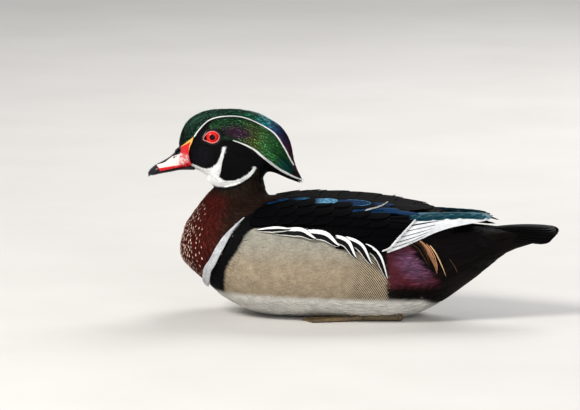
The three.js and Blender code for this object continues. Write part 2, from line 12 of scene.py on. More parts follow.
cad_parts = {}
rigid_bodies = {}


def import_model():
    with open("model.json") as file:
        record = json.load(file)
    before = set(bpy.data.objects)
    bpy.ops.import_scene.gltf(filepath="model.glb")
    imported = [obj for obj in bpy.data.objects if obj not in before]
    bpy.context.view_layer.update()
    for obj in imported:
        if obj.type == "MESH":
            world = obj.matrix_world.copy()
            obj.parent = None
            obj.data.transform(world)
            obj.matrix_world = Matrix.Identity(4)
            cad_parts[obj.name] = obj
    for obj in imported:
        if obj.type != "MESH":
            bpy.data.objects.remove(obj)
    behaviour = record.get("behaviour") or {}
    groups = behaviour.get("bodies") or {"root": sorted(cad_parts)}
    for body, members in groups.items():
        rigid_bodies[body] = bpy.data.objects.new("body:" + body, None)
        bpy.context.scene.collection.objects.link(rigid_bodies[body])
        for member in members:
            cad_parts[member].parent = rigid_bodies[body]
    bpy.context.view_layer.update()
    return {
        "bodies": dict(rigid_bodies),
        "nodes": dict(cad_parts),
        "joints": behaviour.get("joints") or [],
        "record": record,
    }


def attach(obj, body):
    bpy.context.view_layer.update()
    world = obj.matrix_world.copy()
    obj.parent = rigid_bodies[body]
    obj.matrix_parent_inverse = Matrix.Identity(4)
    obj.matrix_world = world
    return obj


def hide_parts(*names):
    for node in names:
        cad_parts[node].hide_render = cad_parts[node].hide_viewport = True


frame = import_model()
rng = np.random.default_rng(11)
SIDES = [("left", -1), ("right", 1)]

HEAD_TURN = math.radians(10)  # the head looks a little to the bird's left
NECK_X = -0.1053  # the upright axis that the head turns about
EYE = {"x": -0.022, "side": 0.0142, "z": 0.1612, "radius": 0.007}
CAMERA = {"azimuth": 10, "elevation": 8, "aim": (-0.0569, 0, 0.0982), "distance": 6.0, "lens": 414}

# Sections between an upper and a lower outline: upper x and z, lower x and z, half width, how far up
# the section is widest, and how square it is above and below (2 is an ellipse). The neck's rows end
# with their share of the head's turn. HEAD and the bill are in the turned head's own frame.
BODY = [
    [-0.1565, 0.06, -0.1565, 0.054, 0.006, 0.5, 2, 2],
    [-0.155, 0.068, -0.155, 0.0475, 0.02, 0.5, 2, 2],
    [-0.151, 0.077, -0.151, 0.042, 0.031, 0.5, 2, 2],
    [-0.144, 0.086, -0.144, 0.0355, 0.041, 0.48, 2, 2],
    [-0.133, 0.0945, -0.133, 0.027, 0.05, 0.48, 2.1, 2],
    [-0.118, 0.1005, -0.118, 0.0155, 0.057, 0.48, 2.2, 2.1],
    [-0.098, 0.1045, -0.098, 0.0055, 0.062, 0.47, 2.2, 2.3],
    [-0.075, 0.107, -0.075, -0.0005, 0.065, 0.46, 2.2, 2.4],
    [-0.045, 0.108, -0.045, -0.0015, 0.0675, 0.45, 2.2, 2.4],
    [-0.01, 0.1075, -0.01, -0.0015, 0.068, 0.45, 2.2, 2.4],
    [0.02, 0.1045, 0.02, -0.0015, 0.066, 0.46, 2.2, 2.4],
    [0.045, 0.0995, 0.045, -0.0005, 0.06, 0.48, 2.2, 2.3],
    [0.065, 0.094, 0.065, 0.005, 0.053, 0.5, 2.2, 2.2],
    [0.085, 0.089, 0.085, 0.016, 0.045, 0.53, 2.2, 2.1],
    [0.105, 0.0848, 0.105, 0.032, 0.036, 0.56, 2.2, 2],
    [0.125, 0.0826, 0.125, 0.049, 0.027, 0.6, 2.2, 2],
    [0.141, 0.0816, 0.141, 0.062, 0.019, 0.6, 2.2, 2],
    [0.15, 0.0805, 0.15, 0.068, 0.013, 0.6, 2, 2],
]
MANTLE = [
    [-0.104, 0.098, -0.104, 0.02, 0.056, 0.5, 2.2, 2],
    [-0.085, 0.1065, -0.085, 0.015, 0.0615, 0.5, 2.2, 2],
    [-0.06, 0.1103, -0.06, 0.01, 0.067, 0.5, 2.2, 2],
    [-0.03, 0.1116, -0.03, 0.01, 0.07, 0.5, 2.2, 2],
    [0, 0.111, 0, 0.01, 0.0705, 0.5, 2.2, 2],
    [0.025, 0.1086, 0.025, 0.01, 0.068, 0.52, 2.2, 2],
    [0.05, 0.1046, 0.05, 0.014, 0.059, 0.57, 2.2, 2],
    [0.07, 0.101, 0.07, 0.02, 0.047, 0.64, 2.2, 2],
    [0.09, 0.0994, 0.09, 0.04, 0.035, 0.66, 2.1, 2],
    [0.11, 0.0984, 0.11, 0.06, 0.0245, 0.64, 2.1, 2],
    [0.125, 0.095, 0.125, 0.072, 0.017, 0.62, 2, 2],
    [0.134, 0.091, 0.134, 0.08, 0.011, 0.62, 2, 2],
]
HEAD = [
    [-0.053, 0.148, -0.042, 0.131, 0.007, 0.5, 2, 2],
    [-0.0525, 0.155, -0.0385, 0.1295, 0.012, 0.5, 2, 2],
    [-0.05, 0.165, -0.034, 0.128, 0.0155, 0.48, 2, 2],
    [-0.044, 0.1745, -0.029, 0.1245, 0.0183, 0.45, 2, 2.2],
    [-0.034, 0.181, -0.025, 0.118, 0.0203, 0.42, 2, 2.4],
    [-0.0225, 0.1842, -0.0215, 0.112, 0.0213, 0.4, 2, 2.4],
    [-0.01, 0.1846, -0.013, 0.107, 0.0216, 0.4, 2, 2.4],
    [0.0035, 0.1833, 0.002, 0.107, 0.021, 0.42, 2, 2.4],
    [0.016, 0.1805, 0.014, 0.11, 0.0196, 0.45, 2, 2.3],
    [0.027, 0.176, 0.022, 0.119, 0.0174, 0.48, 2, 2.2],
    [0.036, 0.1693, 0.0265, 0.126, 0.015, 0.5, 2, 2],
    [0.043, 0.1607, 0.0305, 0.127, 0.0124, 0.5, 2, 2],
    [0.0477, 0.15, 0.037, 0.1253, 0.0098, 0.5, 2, 2],
    [0.0508, 0.138, 0.044, 0.1225, 0.0072, 0.5, 2, 2],
    [0.0542, 0.128, 0.051, 0.1198, 0.0044, 0.5, 2, 2],
    [0.0594, 0.1184, 0.058, 0.1173, 0.0012, 0.5, 2, 2],
]
NECK = [
    [-0.017, 0.121, 0.017, 0.126, 0.015, 0.5, 2, 2, 1],
    [-0.0216, 0.1134, 0.0225, 0.119, 0.0195, 0.5, 2, 2, 1],
    [-0.026, 0.109, 0.024, 0.1105, 0.0215, 0.5, 2, 2, 0.9],
    [-0.031, 0.1034, 0.0275, 0.1045, 0.026, 0.5, 2, 2, 0.75],
    [-0.0365, 0.096, 0.035, 0.1005, 0.033, 0.5, 2, 2, 0.5],
    [-0.0425, 0.0875, 0.046, 0.095, 0.041, 0.5, 2, 2, 0.25],
    [-0.0465, 0.078, 0.052, 0.086, 0.046, 0.5, 2, 2, 0],
    [-0.042, 0.062, 0.05, 0.066, 0.04, 0.5, 2, 2, 0],
]
BILL_UPPER = [
    [-0.045, 0.153, -0.041, 0.1346, 0.008, 0.3, 2, 3],
    [-0.053, 0.148, -0.051, 0.132, 0.01, 0.2, 2, 3],
    [-0.06, 0.1414, -0.0585, 0.1304, 0.0099, 0.15, 2, 3],
    [-0.067, 0.137, -0.066, 0.129, 0.0095, 0.12, 2.2, 3],
    [-0.0735, 0.1336, -0.073, 0.1276, 0.0089, 0.12, 2.4, 3],
    [-0.078, 0.1306, -0.0775, 0.1246, 0.0066, 0.2, 2.2, 2.4],
    [-0.0803, 0.1268, -0.0796, 0.1227, 0.003, 0.5, 2, 2],
]
BILL_LOWER = [
    [-0.038, 0.135, -0.038, 0.129, 0.0082, 0.5, 2, 2],
    [-0.051, 0.133, -0.051, 0.129, 0.0084, 0.5, 2, 2],
    [-0.06, 0.1314, -0.06, 0.1273, 0.008, 0.5, 2, 2],
    [-0.069, 0.13, -0.069, 0.1256, 0.0072, 0.5, 2, 2],
    [-0.0755, 0.128, -0.075, 0.1242, 0.0052, 0.5, 2, 2],
    [-0.078, 0.126, -0.0775, 0.124, 0.002, 0.5, 2, 2],
]

# The side lobe of the bill's base over the face, in the head's side view.
LOBE = [(-0.056, 0.146), (-0.0525, 0.1495), (-0.0447, 0.1563), (-0.0386, 0.1612), (-0.0398, 0.157),
        (-0.0423, 0.152), (-0.0432, 0.146), (-0.0426, 0.14), (-0.0405, 0.1346), (-0.046, 0.1315),
        (-0.056, 0.131)]

# Markings of the head, as points of its side view.
BROW_LINE = [(-0.0387, 0.1608), (-0.0333, 0.1681), (-0.0261, 0.1749), (-0.0171, 0.1781), (-0.0036, 0.179),
             (0.0081, 0.1772), (0.0207, 0.1717), (0.0333, 0.1635), (0.0414, 0.1517), (0.0486, 0.1372),
             (0.0558, 0.1245)]
CREST_LINE = [(-0.0036, 0.1581), (0.0045, 0.1554), (0.0153, 0.1499), (0.0252, 0.1413), (0.0369, 0.1317),
              (0.0477, 0.1254), (0.0594, 0.1195)]
THROAT = [(-0.0425, 0.131), (-0.034, 0.1255), (-0.028, 0.1205), (-0.0245, 0.117), (-0.019, 0.1155),
          (-0.0108, 0.1158), (-0.0045, 0.117), (0.0027, 0.1195), (0.009, 0.1232), (0.0144, 0.1288),
          (0.0171, 0.1333), (0.0167, 0.1351), (0.0149, 0.1342), (0.0126, 0.1297), (0.0081, 0.126),
          (0.0027, 0.1234), (-0.0027, 0.1216), (-0.0081, 0.1216), (-0.0126, 0.1224), (-0.0158, 0.1251),
          (-0.0158, 0.1296), (-0.0149, 0.136), (-0.0131, 0.1424), (-0.0108, 0.1478), (-0.0096, 0.1518),
          (-0.0113, 0.153), (-0.0132, 0.1514), (-0.0137, 0.1469), (-0.0153, 0.1424), (-0.018, 0.1378),
          (-0.0225, 0.1337), (-0.027, 0.1324), (-0.0315, 0.1328), (-0.036, 0.1345), (-0.0405, 0.1365)]
# The middles of the throat's two white bars and their half widths.
BARS = [([(-0.0105, 0.152), (-0.0122, 0.1475), (-0.0138, 0.1415), (-0.0155, 0.135), (-0.0172, 0.128)],
         [0.0008, 0.0013, 0.0014, 0.0017, 0.0027]),
        ([(-0.027, 0.1255), (-0.019, 0.1198), (-0.01, 0.1186), (-0.001, 0.12), (0.006, 0.123),
          (0.0125, 0.1285), (0.0163, 0.1345)],
         [0.0024, 0.0026, 0.0022, 0.0015, 0.0013, 0.0012, 0.0005])]
COLLAR = {"x": [-0.03, -0.0225, -0.0108, 0.0027, 0.009, 0.0144, 0.018],
          "z": [0.122, 0.1155, 0.1145, 0.1182, 0.122, 0.1275, 0.134]}

# Markings of the body, as the x of each edge at heights z.
SHOULDER = {"z": [0.02, 0.0448, 0.0528, 0.064, 0.0774, 0.086, 0.0925],
            "x": [-0.129, -0.1226, -0.1173, -0.1115, -0.1036, -0.0969, -0.0908],
            "width": [0.007, 0.0081, 0.0078, 0.0069, 0.0072, 0.0036, 0]}
SHOULDER_REAR = {"z": [0.02, 0.0463, 0.0538, 0.0649, 0.0781, 0.0891],
                 "x": [-0.109, -0.1048, -0.1009, -0.0936, -0.0871, -0.0774]}
OLIVE = {"z": [0.05, 0.07, 0.085, 0.1, 0.115], "x": [-0.118, -0.116, -0.113, -0.112, -0.116]}
WING_FRONT = {"z": [0.08, 0.093, 0.1, 0.105, 0.1095, 0.113],
              "x": [-0.088, -0.088, -0.079, -0.069, -0.056, -0.05]}
WING_LOW = {"x": [-0.08, -0.0775, -0.0519, -0.0288, -0.0054, 0.0133, 0.03, 0.0452, 0.0618, 0.0782, 0.0945,
                  0.13],
            "z": [0.08, 0.087, 0.089, 0.088, 0.084, 0.077, 0.071, 0.074, 0.081, 0.0865, 0.0895, 0.093]}
FLANK_TOP = {"x": [-0.09, -0.0775, -0.0519, -0.0288, -0.0054, 0.0133, 0.0272, 0.0372, 0.0425],
             "z": [0.08, 0.0843, 0.0863, 0.0857, 0.0812, 0.0738, 0.0643, 0.0536, 0.0408]}
PATCH_REAR = {"z": [0.036, 0.044, 0.049, 0.059, 0.069, 0.074],
              "x": [0.086, 0.081, 0.077, 0.0685, 0.0635, 0.06]}
BELLY_TOP = {"x": [-0.15, -0.12, -0.1, 0.04, 0.07, 0.1], "z": [0.02, 0.024, 0.024, 0.022, 0.02, 0.0]}
# How far the neck's front is drawn in, and the breast let out, at heights z.
THROAT_DRAW = {"z": [0.04, 0.0445, 0.0496, 0.0598, 0.066, 0.0713, 0.0757, 0.0795, 0.0846, 0.0948, 0.113,
                     0.1185],
               "x": [0.0016, 0.0014, 0.0004, 0.0001, -0.0005, -0.0012, -0.0002, 0.0016, 0.0028, 0.0033,
                     0.0034, 0]}
CROWN_RISE = {"x": [-0.012, 0, 0.018, 0.027, 0.037], "z": [0, 0.001, 0.0015, 0.0015, 0]}


def rows_at(rows, t):
    """Rows between the rows, by a Catmull-Rom spline through each column."""
    rows = np.asarray(rows, float)
    t = np.asarray(t, float)
    padded = np.vstack([2 * rows[:1] - rows[1:2], rows, 2 * rows[-1:] - rows[-2:-1]])
    i = np.clip(np.floor(t).astype(int), 0, len(rows) - 2)
    f = (t - i)[..., None]
    p0, p1, p2, p3 = (padded[i + k] for k in range(4))
    return 0.5 * (2 * p1 + (p2 - p0) * f + (2 * p0 - 5 * p1 + 4 * p2 - p3) * f * f
                  + (3 * p1 - p0 - 3 * p2 + p3) * f ** 3)


def to_world(p, share=1.0):
    """Points of the head's frame, turned about the neck's axis by a share of the head's turn."""
    c, s = np.cos(HEAD_TURN * share), np.sin(HEAD_TURN * share)
    return np.stack([NECK_X + p[..., 0] * c - p[..., 1] * s, p[..., 0] * s + p[..., 1] * c, p[..., 2]], -1)


def turned(v):
    """Directions of the head's frame in the bird's."""
    return to_world(v) - to_world(np.zeros(3))


def to_head(p):
    c, s = math.cos(HEAD_TURN), math.sin(HEAD_TURN)
    x = p[..., 0] - NECK_X
    return np.stack([x * c + p[..., 1] * s, p[..., 1] * c - x * s, p[..., 2]], -1)


def unit(v):
    return v / np.maximum(np.linalg.norm(v, axis=-1, keepdims=True), 1e-12)


def section(rows, t, angle):
    """Points of the sections at t, at an angle: 0 is the bird's right side, a quarter turn the top."""
    r = rows_at(rows, t)
    upper_x, upper_z, lower_x, lower_z, half, widest, above, below = np.moveaxis(r[..., :8], -1, 0)
    c, s = np.cos(angle), np.sin(angle)
    power = 2 / np.where(s > 0, above, below)
    rise = np.abs(s) ** power
    up = np.where(s > 0, widest + (1 - widest) * rise, widest * (1 - rise))
    y = half * np.sign(c) * np.abs(c) ** power
    p = np.stack([lower_x + (upper_x - lower_x) * up, y, lower_z + (upper_z - lower_z) * up], -1)
    return to_world(p, r[..., 8]) if r.shape[-1] > 8 else p


def surface(rows, t, angle):
    """Points of a loft, its outward normals and its directions round the section."""
    d = 0.05
    along = section(rows, t + d, angle) - section(rows, t - d, angle)
    across = section(rows, t, angle + d) - section(rows, t, angle - d)
    return section(rows, t, angle), unit(np.cross(across, along)), unit(across)


def row_of(rows, x):
    """The place of an x among the rows."""
    return np.interp(x, [r[0] for r in rows], range(len(rows)))


def side_y(rows, x, z):
    """The half width of a loft with upright sections at a place of its side view."""
    _, top, _, bottom, half, widest, above, below = np.moveaxis(rows_at(rows, row_of(rows, x)), -1, 0)
    middle = bottom + (top - bottom) * widest
    power = np.where(z > middle, above, below)
    s = np.abs(z - middle) / np.where(z > middle, top - middle, middle - bottom)
    return half * np.maximum(1 - np.minimum(s, 1) ** power, 0) ** (1 / power)


def smooth(x, low, high):
    t = np.clip((x - low) / (high - low), 0, 1)
    return t * t * (3 - 2 * t)


def x_at(edge, z):
    return np.interp(z, edge["z"], edge["x"])


def z_at(edge, x):
    return np.interp(x, edge["x"], edge["z"])


def to_line(x, z, line):
    """Distance to a line, how far along it that is (0 to 1), and which side (positive is above)."""
    line = np.asarray(line)
    lengths = np.linalg.norm(np.diff(line, axis=0), axis=1)
    starts = np.concatenate([[0], np.cumsum(lengths)])
    best, place, above = np.full(len(x), 9.0), np.zeros(len(x)), np.ones(len(x))
    for (ax, az), (bx, bz), size, start in zip(line, line[1:], lengths, starts):
        ux, uz = (bx - ax) / size, (bz - az) / size
        s = np.clip((x - ax) * ux + (z - az) * uz, 0, size)
        dx, dz = x - ax - ux * s, z - az - uz * s
        d = np.hypot(dx, dz)
        near = d < best
        best = np.where(near, d, best)
        place = np.where(near, (start + s) / starts[-1], place)
        above = np.where(near, np.sign(ux * dz - uz * dx), above)
    return best, place, above


def inside(x, z, outline):
    result = np.zeros(len(x), bool)
    for (ax, az), (bx, bz) in zip(outline, outline[1:] + outline[:1]):
        result ^= ((az > z) != (bz > z)) & (x < (bx - ax) * (z - az) / (bz - az + 1e-12) + ax)
    return result


# Colours, linear, with how glossy and iridescent the feather is as the fourth number.
INK = {
    "black": (0.0025, 0.0025, 0.003, 0.1), "cheek": (0.0015, 0.0015, 0.002, 0.1),
    "dusk": (0.006, 0.005, 0.009, 0.3), "forehead": (0.0025, 0.008, 0.005, 0.5),
    "crown": (0.003, 0.026, 0.013, 0.9), "moss": (0.008, 0.032, 0.012, 0.8), "teal": (0.01, 0.1, 0.12, 1),
    "blue": (0.01, 0.03, 0.085, 0.8), "violet": (0.024, 0.014, 0.045, 0.7),
    "night": (0.01, 0.008, 0.014, 0.5), "plum": (0.07, 0.022, 0.03, 0.7), "ear": (0.026, 0.011, 0.022, 0.5),
    "bronze": (0.048, 0.06, 0.014, 0.7), "leaf": (0.026, 0.11, 0.034, 0.9),
    "white": (0.9, 0.9, 0.89, 0), "breast": (0.05, 0.0065, 0.0045, 0.1),
    "spot": (0.72, 0.5, 0.4, 0), "olive": (0.013, 0.008, 0.005, 0.1), "flank": (0.33, 0.265, 0.18, 0),
    "ash": (0.31, 0.295, 0.245, 0), "bar": (0.62, 0.63, 0.65, 0), "belly": (0.72, 0.7, 0.65, 0),
    "rump": (0.003, 0.0022, 0.0022, 0.1), "burgundy": (0.085, 0.016, 0.024, 0.4),
    "heather": (0.13, 0.06, 0.115, 0.5), "back": (0.002, 0.002, 0.003, 0.1),
    "under": (0.0045, 0.0033, 0.0028, 0.1), "rust": (0.46, 0.2, 0.1, 0), "cream": (0.6, 0.42, 0.22, 0),
    "wing": (0.0012, 0.0012, 0.0016, 0), "shoulder": (0.0028, 0.0025, 0.0026, 0),
    "navy": (0.003, 0.018, 0.058, 0.6), "deep": (0.003, 0.017, 0.035, 1), "sky": (0.075, 0.2, 0.31, 1),
    "azure": (0.015, 0.07, 0.13, 1), "speculum": (0.004, 0.028, 0.08, 0.2),
    "rear": (0.008, 0.055, 0.075, 0.7),
    "silver": (0.55, 0.54, 0.5, 0), "tail": (0.003, 0.003, 0.003, 0.35), "horn": (0.004, 0.005, 0.007, 1),
    "chalk": (0.72, 0.68, 0.62, 1), "pink": (0.68, 0.2, 0.22, 1), "red": (0.6, 0.006, 0.014, 1),
    "yellow": (0.78, 0.42, 0.08, 1), "nostril": (0.09, 0.002, 0.002, 1), "gape": (0.25, 0.02, 0.02, 1),
    "iris": (0.78, 0.008, 0.01, 1), "iris_inner": (0.95, 0.05, 0.03, 1), "iris_rim": (0.01, 0.002, 0.002, 1),
    "pupil": (0.001, 0.001, 0.002, 1), "lid": (0.72, 0.22, 0.19, 1), "lid_skin": (0.0015, 0.0015, 0.002, 1),
}
INK = {name: np.array(ink) for name, ink in INK.items()}


def layered(under, *layers):
    """Colours over one another: each layer is an ink's name or a colour, and how far it covers."""
    colour = INK[under] if isinstance(under, str) else under
    for over, mask in layers:
        over = INK[over] if isinstance(over, str) else np.asarray(over)
        colour = colour + (over - colour) * np.asarray(mask)[:, None]
    return colour


WOBBLE = 0.0012


def wobbled(x, z):
    """Places moved a little, so that painted patches have uneven edges."""
    return (x + WOBBLE * np.sin(900 * z + 310 * x) + 0.6 * WOBBLE * np.sin(2100 * z - 700 * x),
            z + WOBBLE * np.sin(1000 * x - 420 * z) + 0.6 * WOBBLE * np.sin(1900 * x + 900 * z))


def patch(x, z, centre, radii, tilt=0.0, soft=0.5):
    """A soft oval patch of the side view."""
    c, s = math.cos(tilt), math.sin(tilt)
    u, v = x - centre[0], z - centre[1]
    d = np.hypot((u * c + v * s) / radii[0], (v * c - u * s) / radii[1])
    return smooth(1 + soft - d, 0, 2 * soft)


def paint_head(p):
    sx, _, sz = to_head(p).T
    x, z = wobbled(sx, sz)
    brow, brow_at, brow_up = to_line(sx, sz, BROW_LINE)
    # Behind and over the eye, between the two white lines.
    between = (to_line(sx, sz, CREST_LINE)[2] > 0) & (x > -0.004)
    between |= ((sz > 0.1585) & (x > -0.012)) | ((sz > 0.168) & (x > -0.024))
    back = layered("moss", ("bronze", patch(x, z, (0.018, 0.157), (0.014, 0.009), -0.8, 0.9) * 0.9),
                   ("leaf", patch(x, z, (0.033, 0.146), (0.017, 0.009), -1.0, 0.8)),
                   ("ear", patch(x, z, (0.0, 0.1648), (0.0135, 0.0055), -0.15, 0.7)),
                   ("teal", patch(x, z, (0.044, 0.1335), (0.008, 0.004), -1.0) * 0.6),
                   ("plum", smooth(x, 0.048, 0.054) * 0.7),
                   ("black", smooth(0.0035 - brow, 0, 0.002) * (x < 0.02) * 0.7))
    # The crown above the upper line.
    crown = layered("forehead", ("crown", smooth(brow_at, 0.22, 0.42)),
                    ("teal", smooth(brow_at, 0.46, 0.56) * 0.5), ("blue", smooth(brow_at, 0.56, 0.65)),
                    ("violet", smooth(brow_at, 0.64, 0.72)), ("plum", smooth(brow_at, 0.72, 0.84) * 0.8),
                    ("night", smooth(brow, 0.006, 0.011) * smooth(brow_at, 0.5, 0.7) * 0.75))
    above = (brow_up > 0) & ((sx > -0.045) | (sz > 0.15)) | (sz > 0.181)
    return layered("cheek", ("dusk", patch(x, z, (-0.032, 0.142), (0.008, 0.007), 0, 0.6) * 0.8),
                   (back, between), (crown, above), ("white", inside(sx, sz, THROAT)))


def paint_body(p):
    x, _, z = p.T
    wx, wz = wobbled(x, z)
    bar = x - x_at(SHOULDER, z)
    half = np.interp(z, SHOULDER["z"], SHOULDER["width"]) / 2
    flank = smooth(x - x_at(SHOULDER_REAR, z), -0.0015, 0.0015) * (z < z_at(FLANK_TOP, x)) * (x < 0.0412)
    beige = layered("flank", ("ash", smooth(z, 0.045, 0.08)))
    beige[:, 3] = smooth(x + (0.06 - z) * 0.3, 0.004, 0.03)
    # Behind the flank: a burgundy patch, then black-brown.
    burgundy = smooth(x_at(PATCH_REAR, wz) - wx, -0.001, 0.003) * smooth(wz, 0.03, 0.038)
    tone = layered("burgundy", ("heather", patch(wx, wz, (0.064, 0.053), (0.016, 0.009), -0.75, 0.7) * 0.8))
    stern = layered("rump", ("under", smooth(0.06 - z, 0, 0.02)),
                    (tone, burgundy * smooth(0.076 - wz, 0, 0.002)), ("back", smooth(z, 0.08, 0.086)))
    return layered("breast", ("olive", smooth(x - x_at(OLIVE, z), -0.008, 0.012) * 0.9),
                   ("olive", smooth(z, 0.104, 0.112) * 0.8), ("black", (bar > 0) & (z < 0.0935)),
                   ("back", (x > x_at(WING_FRONT, z)) & (z > 0.084)), ("bar", np.abs(bar) < half * 0.7),
                   (beige, flank), (stern, smooth(x, 0.0405, 0.0415)),
                   ("belly", smooth(z_at(BELLY_TOP, x) - z, -0.003, 0.003)))


def head_share(p):
    """1 on the head, 0 on the neck and body."""
    x, _, z = np.moveaxis(to_head(p), -1, 0)
    return (z > np.where(x > 0.02, 0.118, z_at(COLLAR, x))) & (p[:, 0] < -0.03)


def paint(p):
    """The plumage's colours, with a dark collar where the neck meets the head."""
    head = head_share(p)
    colour = np.zeros((len(p), 4))
    for where, painter in ((head, paint_head), (~head, paint_body)):
        if where.any():
            colour[where] = painter(p[where])
    x, _, z = to_head(p).T
    collar = ~head & (z > 0.1085) & (p[:, 0] < -0.07)
    return layered(colour, ("black", smooth(z - z_at(COLLAR, x), -0.003, -0.001) * collar))


def mesh_object(name, verts, tris, colour=None, bake=None, vane=None, edge=None, flat=False):
    """A mesh object from arrays: points, triangles, and values at the points."""
    mesh = bpy.data.meshes.new(name)
    mesh.vertices.add(len(verts))
    mesh.vertices.foreach_set("co", np.asarray(verts, np.float32).ravel())
    mesh.loops.add(3 * len(tris))
    loops = np.asarray(tris, np.int32).ravel()
    mesh.loops.foreach_set("vertex_index", loops)
    mesh.polygons.add(len(tris))
    mesh.polygons.foreach_set("loop_start", np.arange(0, 3 * len(tris), 3, dtype=np.int32))
    mesh.polygons.foreach_set("use_smooth", np.full(len(tris), not flat))
    mesh.update(calc_edges=True)
    for layer, values in (("OFBake", bake), ("vane", vane)):
        if values is not None:
            uv = mesh.uv_layers.new(name=layer)
            uv.data.foreach_set("uv", np.asarray(values, np.float32)[loops].ravel())
    if colour is not None:
        attribute = mesh.color_attributes.new(name="Col", type="FLOAT_COLOR", domain="POINT")
        attribute.data.foreach_set("color", np.asarray(colour, np.float32).ravel())
    if edge is not None:
        attribute = mesh.attributes.new(name="edge", type="FLOAT", domain="POINT")
        attribute.data.foreach_set("value", np.asarray(edge, np.float32))
    obj = bpy.data.objects.new(name, mesh)
    bpy.context.scene.collection.objects.link(obj)
    return obj


def dressed(obj, material, slot, *nodes):
    """A piece of the bird: its material, and the nodes that it stands in for. The slot is not used."""
    obj.data.materials.append(material)
    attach(obj, "root")
    if nodes:
        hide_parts(*nodes)


def facing_out(verts, tris):
    """Triangles of one closed shape, turned so that they face out."""
    verts = verts - verts.mean(0)
    a, b, c = (verts[tris[:, k]] for k in range(3))
    return tris if np.einsum("ij,ij->i", a, np.cross(b, c)).sum() > 0 else tris[:, ::-1]


def grid_tris(rows, around):
    """Triangles between closed rings of points, one ring after another."""
    i, j = np.meshgrid(np.arange(rows - 1), np.arange(around), indexing="ij")
    a = (i * around + j).ravel()
    b = (i * around + (j + 1) % around).ravel()
    return np.concatenate([np.stack([a, b, a + around], 1), np.stack([b, b + around, a + around], 1)])


def rings_of(rows, start, end, count, around):
    """Rings over a loft from row start to row end: points, outward normals and the angles round it."""
    turn = np.linspace(0, 2 * math.pi, around, endpoint=False)
    t, angle = np.meshgrid(np.linspace(start, end, count), turn, indexing="ij")
    p, normal, _ = surface(rows, t, angle)
    return p, normal, angle


def capped(p):
    """A closed mesh from rings of points, each end closed on its middle."""
    count, around = p.shape[:2]
    verts = np.concatenate([p.reshape(-1, 3), p[:1].mean(1), p[-1:].mean(1)])
    j = np.arange(around)
    k = (j + 1) % around
    end = (count - 1) * around
    tris = np.concatenate([grid_tris(count, around), np.stack([k, j, 0 * j + count * around], 1),
                           np.stack([end + j, end + k, 0 * j + count * around + 1], 1)])
    return verts, facing_out(verts, tris)


def loft(rows, start, end, count, around, grow=0.0):
    p, normal, _ = rings_of(rows, start, end, count, around)
    return capped(p + normal * grow)


def joined(meshes):
    """One mesh, as points and triangles, from several."""
    offsets = np.cumsum([0] + [len(verts) for verts, _ in meshes])
    return (np.concatenate([verts for verts, _ in meshes]),
            np.concatenate([tris + offset for (_, tris), offset in zip(meshes, offsets)]))


def tree_over(*meshes):
    verts, tris = joined(meshes)
    return BVHTree.FromPolygons(verts.tolist(), tris.tolist())


def side_hits(tree, x, z, missing):
    """The y of what a ray from the bird's right side meets, at places of the side view."""
    hits = [tree.ray_cast(Vector((a, 0.06, b)), Vector((0, -1, 0)))[0] for a, b in zip(x.flat, z.flat)]
    return np.reshape([hit.y if hit else missing for hit in hits], x.shape)


# Cross sections of a feather, as (across, height) all round: TUFT for the many small ones, BLADE for
# narrow plumes and PLATE for broad vanes with a raised shaft.
TUFT = [(-1, 0), (0, 1), (1, 0)]
BLADE = [(-1, 0), (-0.5, 0.6), (-0.08, 0.75), (0, 1.3), (0.08, 0.75), (0.5, 0.6), (1, 0), (0, -0.3)]
PLATE = [(b / 8, 0.75 * (1 - abs(b / 8) ** 3) + 0.55 * (b == 0)) for b in range(-8, 9)] + [(0, -0.3)]


def finer(at, wide, count):
    """Rings along a feather and its width at each as a share of the widest, with more rings on the way."""
    rings = np.unique(np.concatenate([np.linspace(0, at[-4], count), at[-4:]]))
    return {"at": rings, "wide": np.interp(rings, at, wide)}


BROAD = finer([0, 0.3, 0.6, 0.8, 0.88, 0.94, 0.98, 1], [0.6, 0.9, 1, 0.98, 0.88, 0.68, 0.4, 0], 20)
LANCE = finer([0, 0.2, 0.42, 0.62, 0.8, 0.93, 1], [0.5, 0.85, 1, 0.92, 0.66, 0.32, 0], 8)
HAIR = finer([0, 0.15, 0.5, 0.75, 0.9, 1], [0.7, 1, 0.95, 0.7, 0.42, 0], 6)
OVAL = finer([0, 0.3, 0.55, 0.75, 0.87, 0.95, 0.985, 1], [0.3, 0.75, 1, 0.95, 0.76, 0.5, 0.26, 0], 24)
WEB = finer([0, 0.3, 0.6, 0.85, 0.94, 1], [1, 0.85, 0.6, 0.36, 0.22, 0], 16)
CRESCENT = finer([0, 0.2, 0.5, 0.68, 0.8, 0.9, 0.95, 0.98, 1], [0.1, 0.65, 1, 0.95, 0.8, 0.56, 0.36, 0.2, 0],
                 24)
SHORT = {"at": np.array([0, 0.4, 0.75, 1]), "wide": [0.7, 1, 0.75, 0]}
SOFT = {"at": np.array([0, 0.35, 0.65, 0.88, 1]), "wide": [0.6, 1, 0.95, 0.6, 0]}
DROP = {"at": np.array([0, 0.6, 0.9, 1]), "wide": [0.2, 0.9, 1, 0]}


def valued(value, p):
    """A value at points, from a function of them or one number."""
    return value(p) if callable(value) else np.full(len(p), value)


def eased(ends, at, bend=0.0):
    """A lift from root to tip for each feather: (n, rings)."""
    ends = np.atleast_2d(ends)
    return ends[:, :1] + (ends[:, 1:] - ends[:, :1]) * at ** (1 + bend)


def widened(half, shape, n):
    return np.broadcast_to(half, (n,))[:, None] * np.asarray(shape["wide"])


def between_points(lines, shape):
    """Each line at a feather's rings: (n, rings, columns)."""
    return np.stack([rows_at(line, shape["at"] * (len(line) - 1)) for line in lines])


def wing_side(x, z):
    return side_y(MANTLE, x, z)


def envelope(x, z):
    """The bird's half width at a place of its side view: the body's, or the folded wing's where wider."""
    return np.maximum(side_y(BODY, x, z), np.where((x > -0.1) & (x < 0.133), wing_side(x, z), 0))


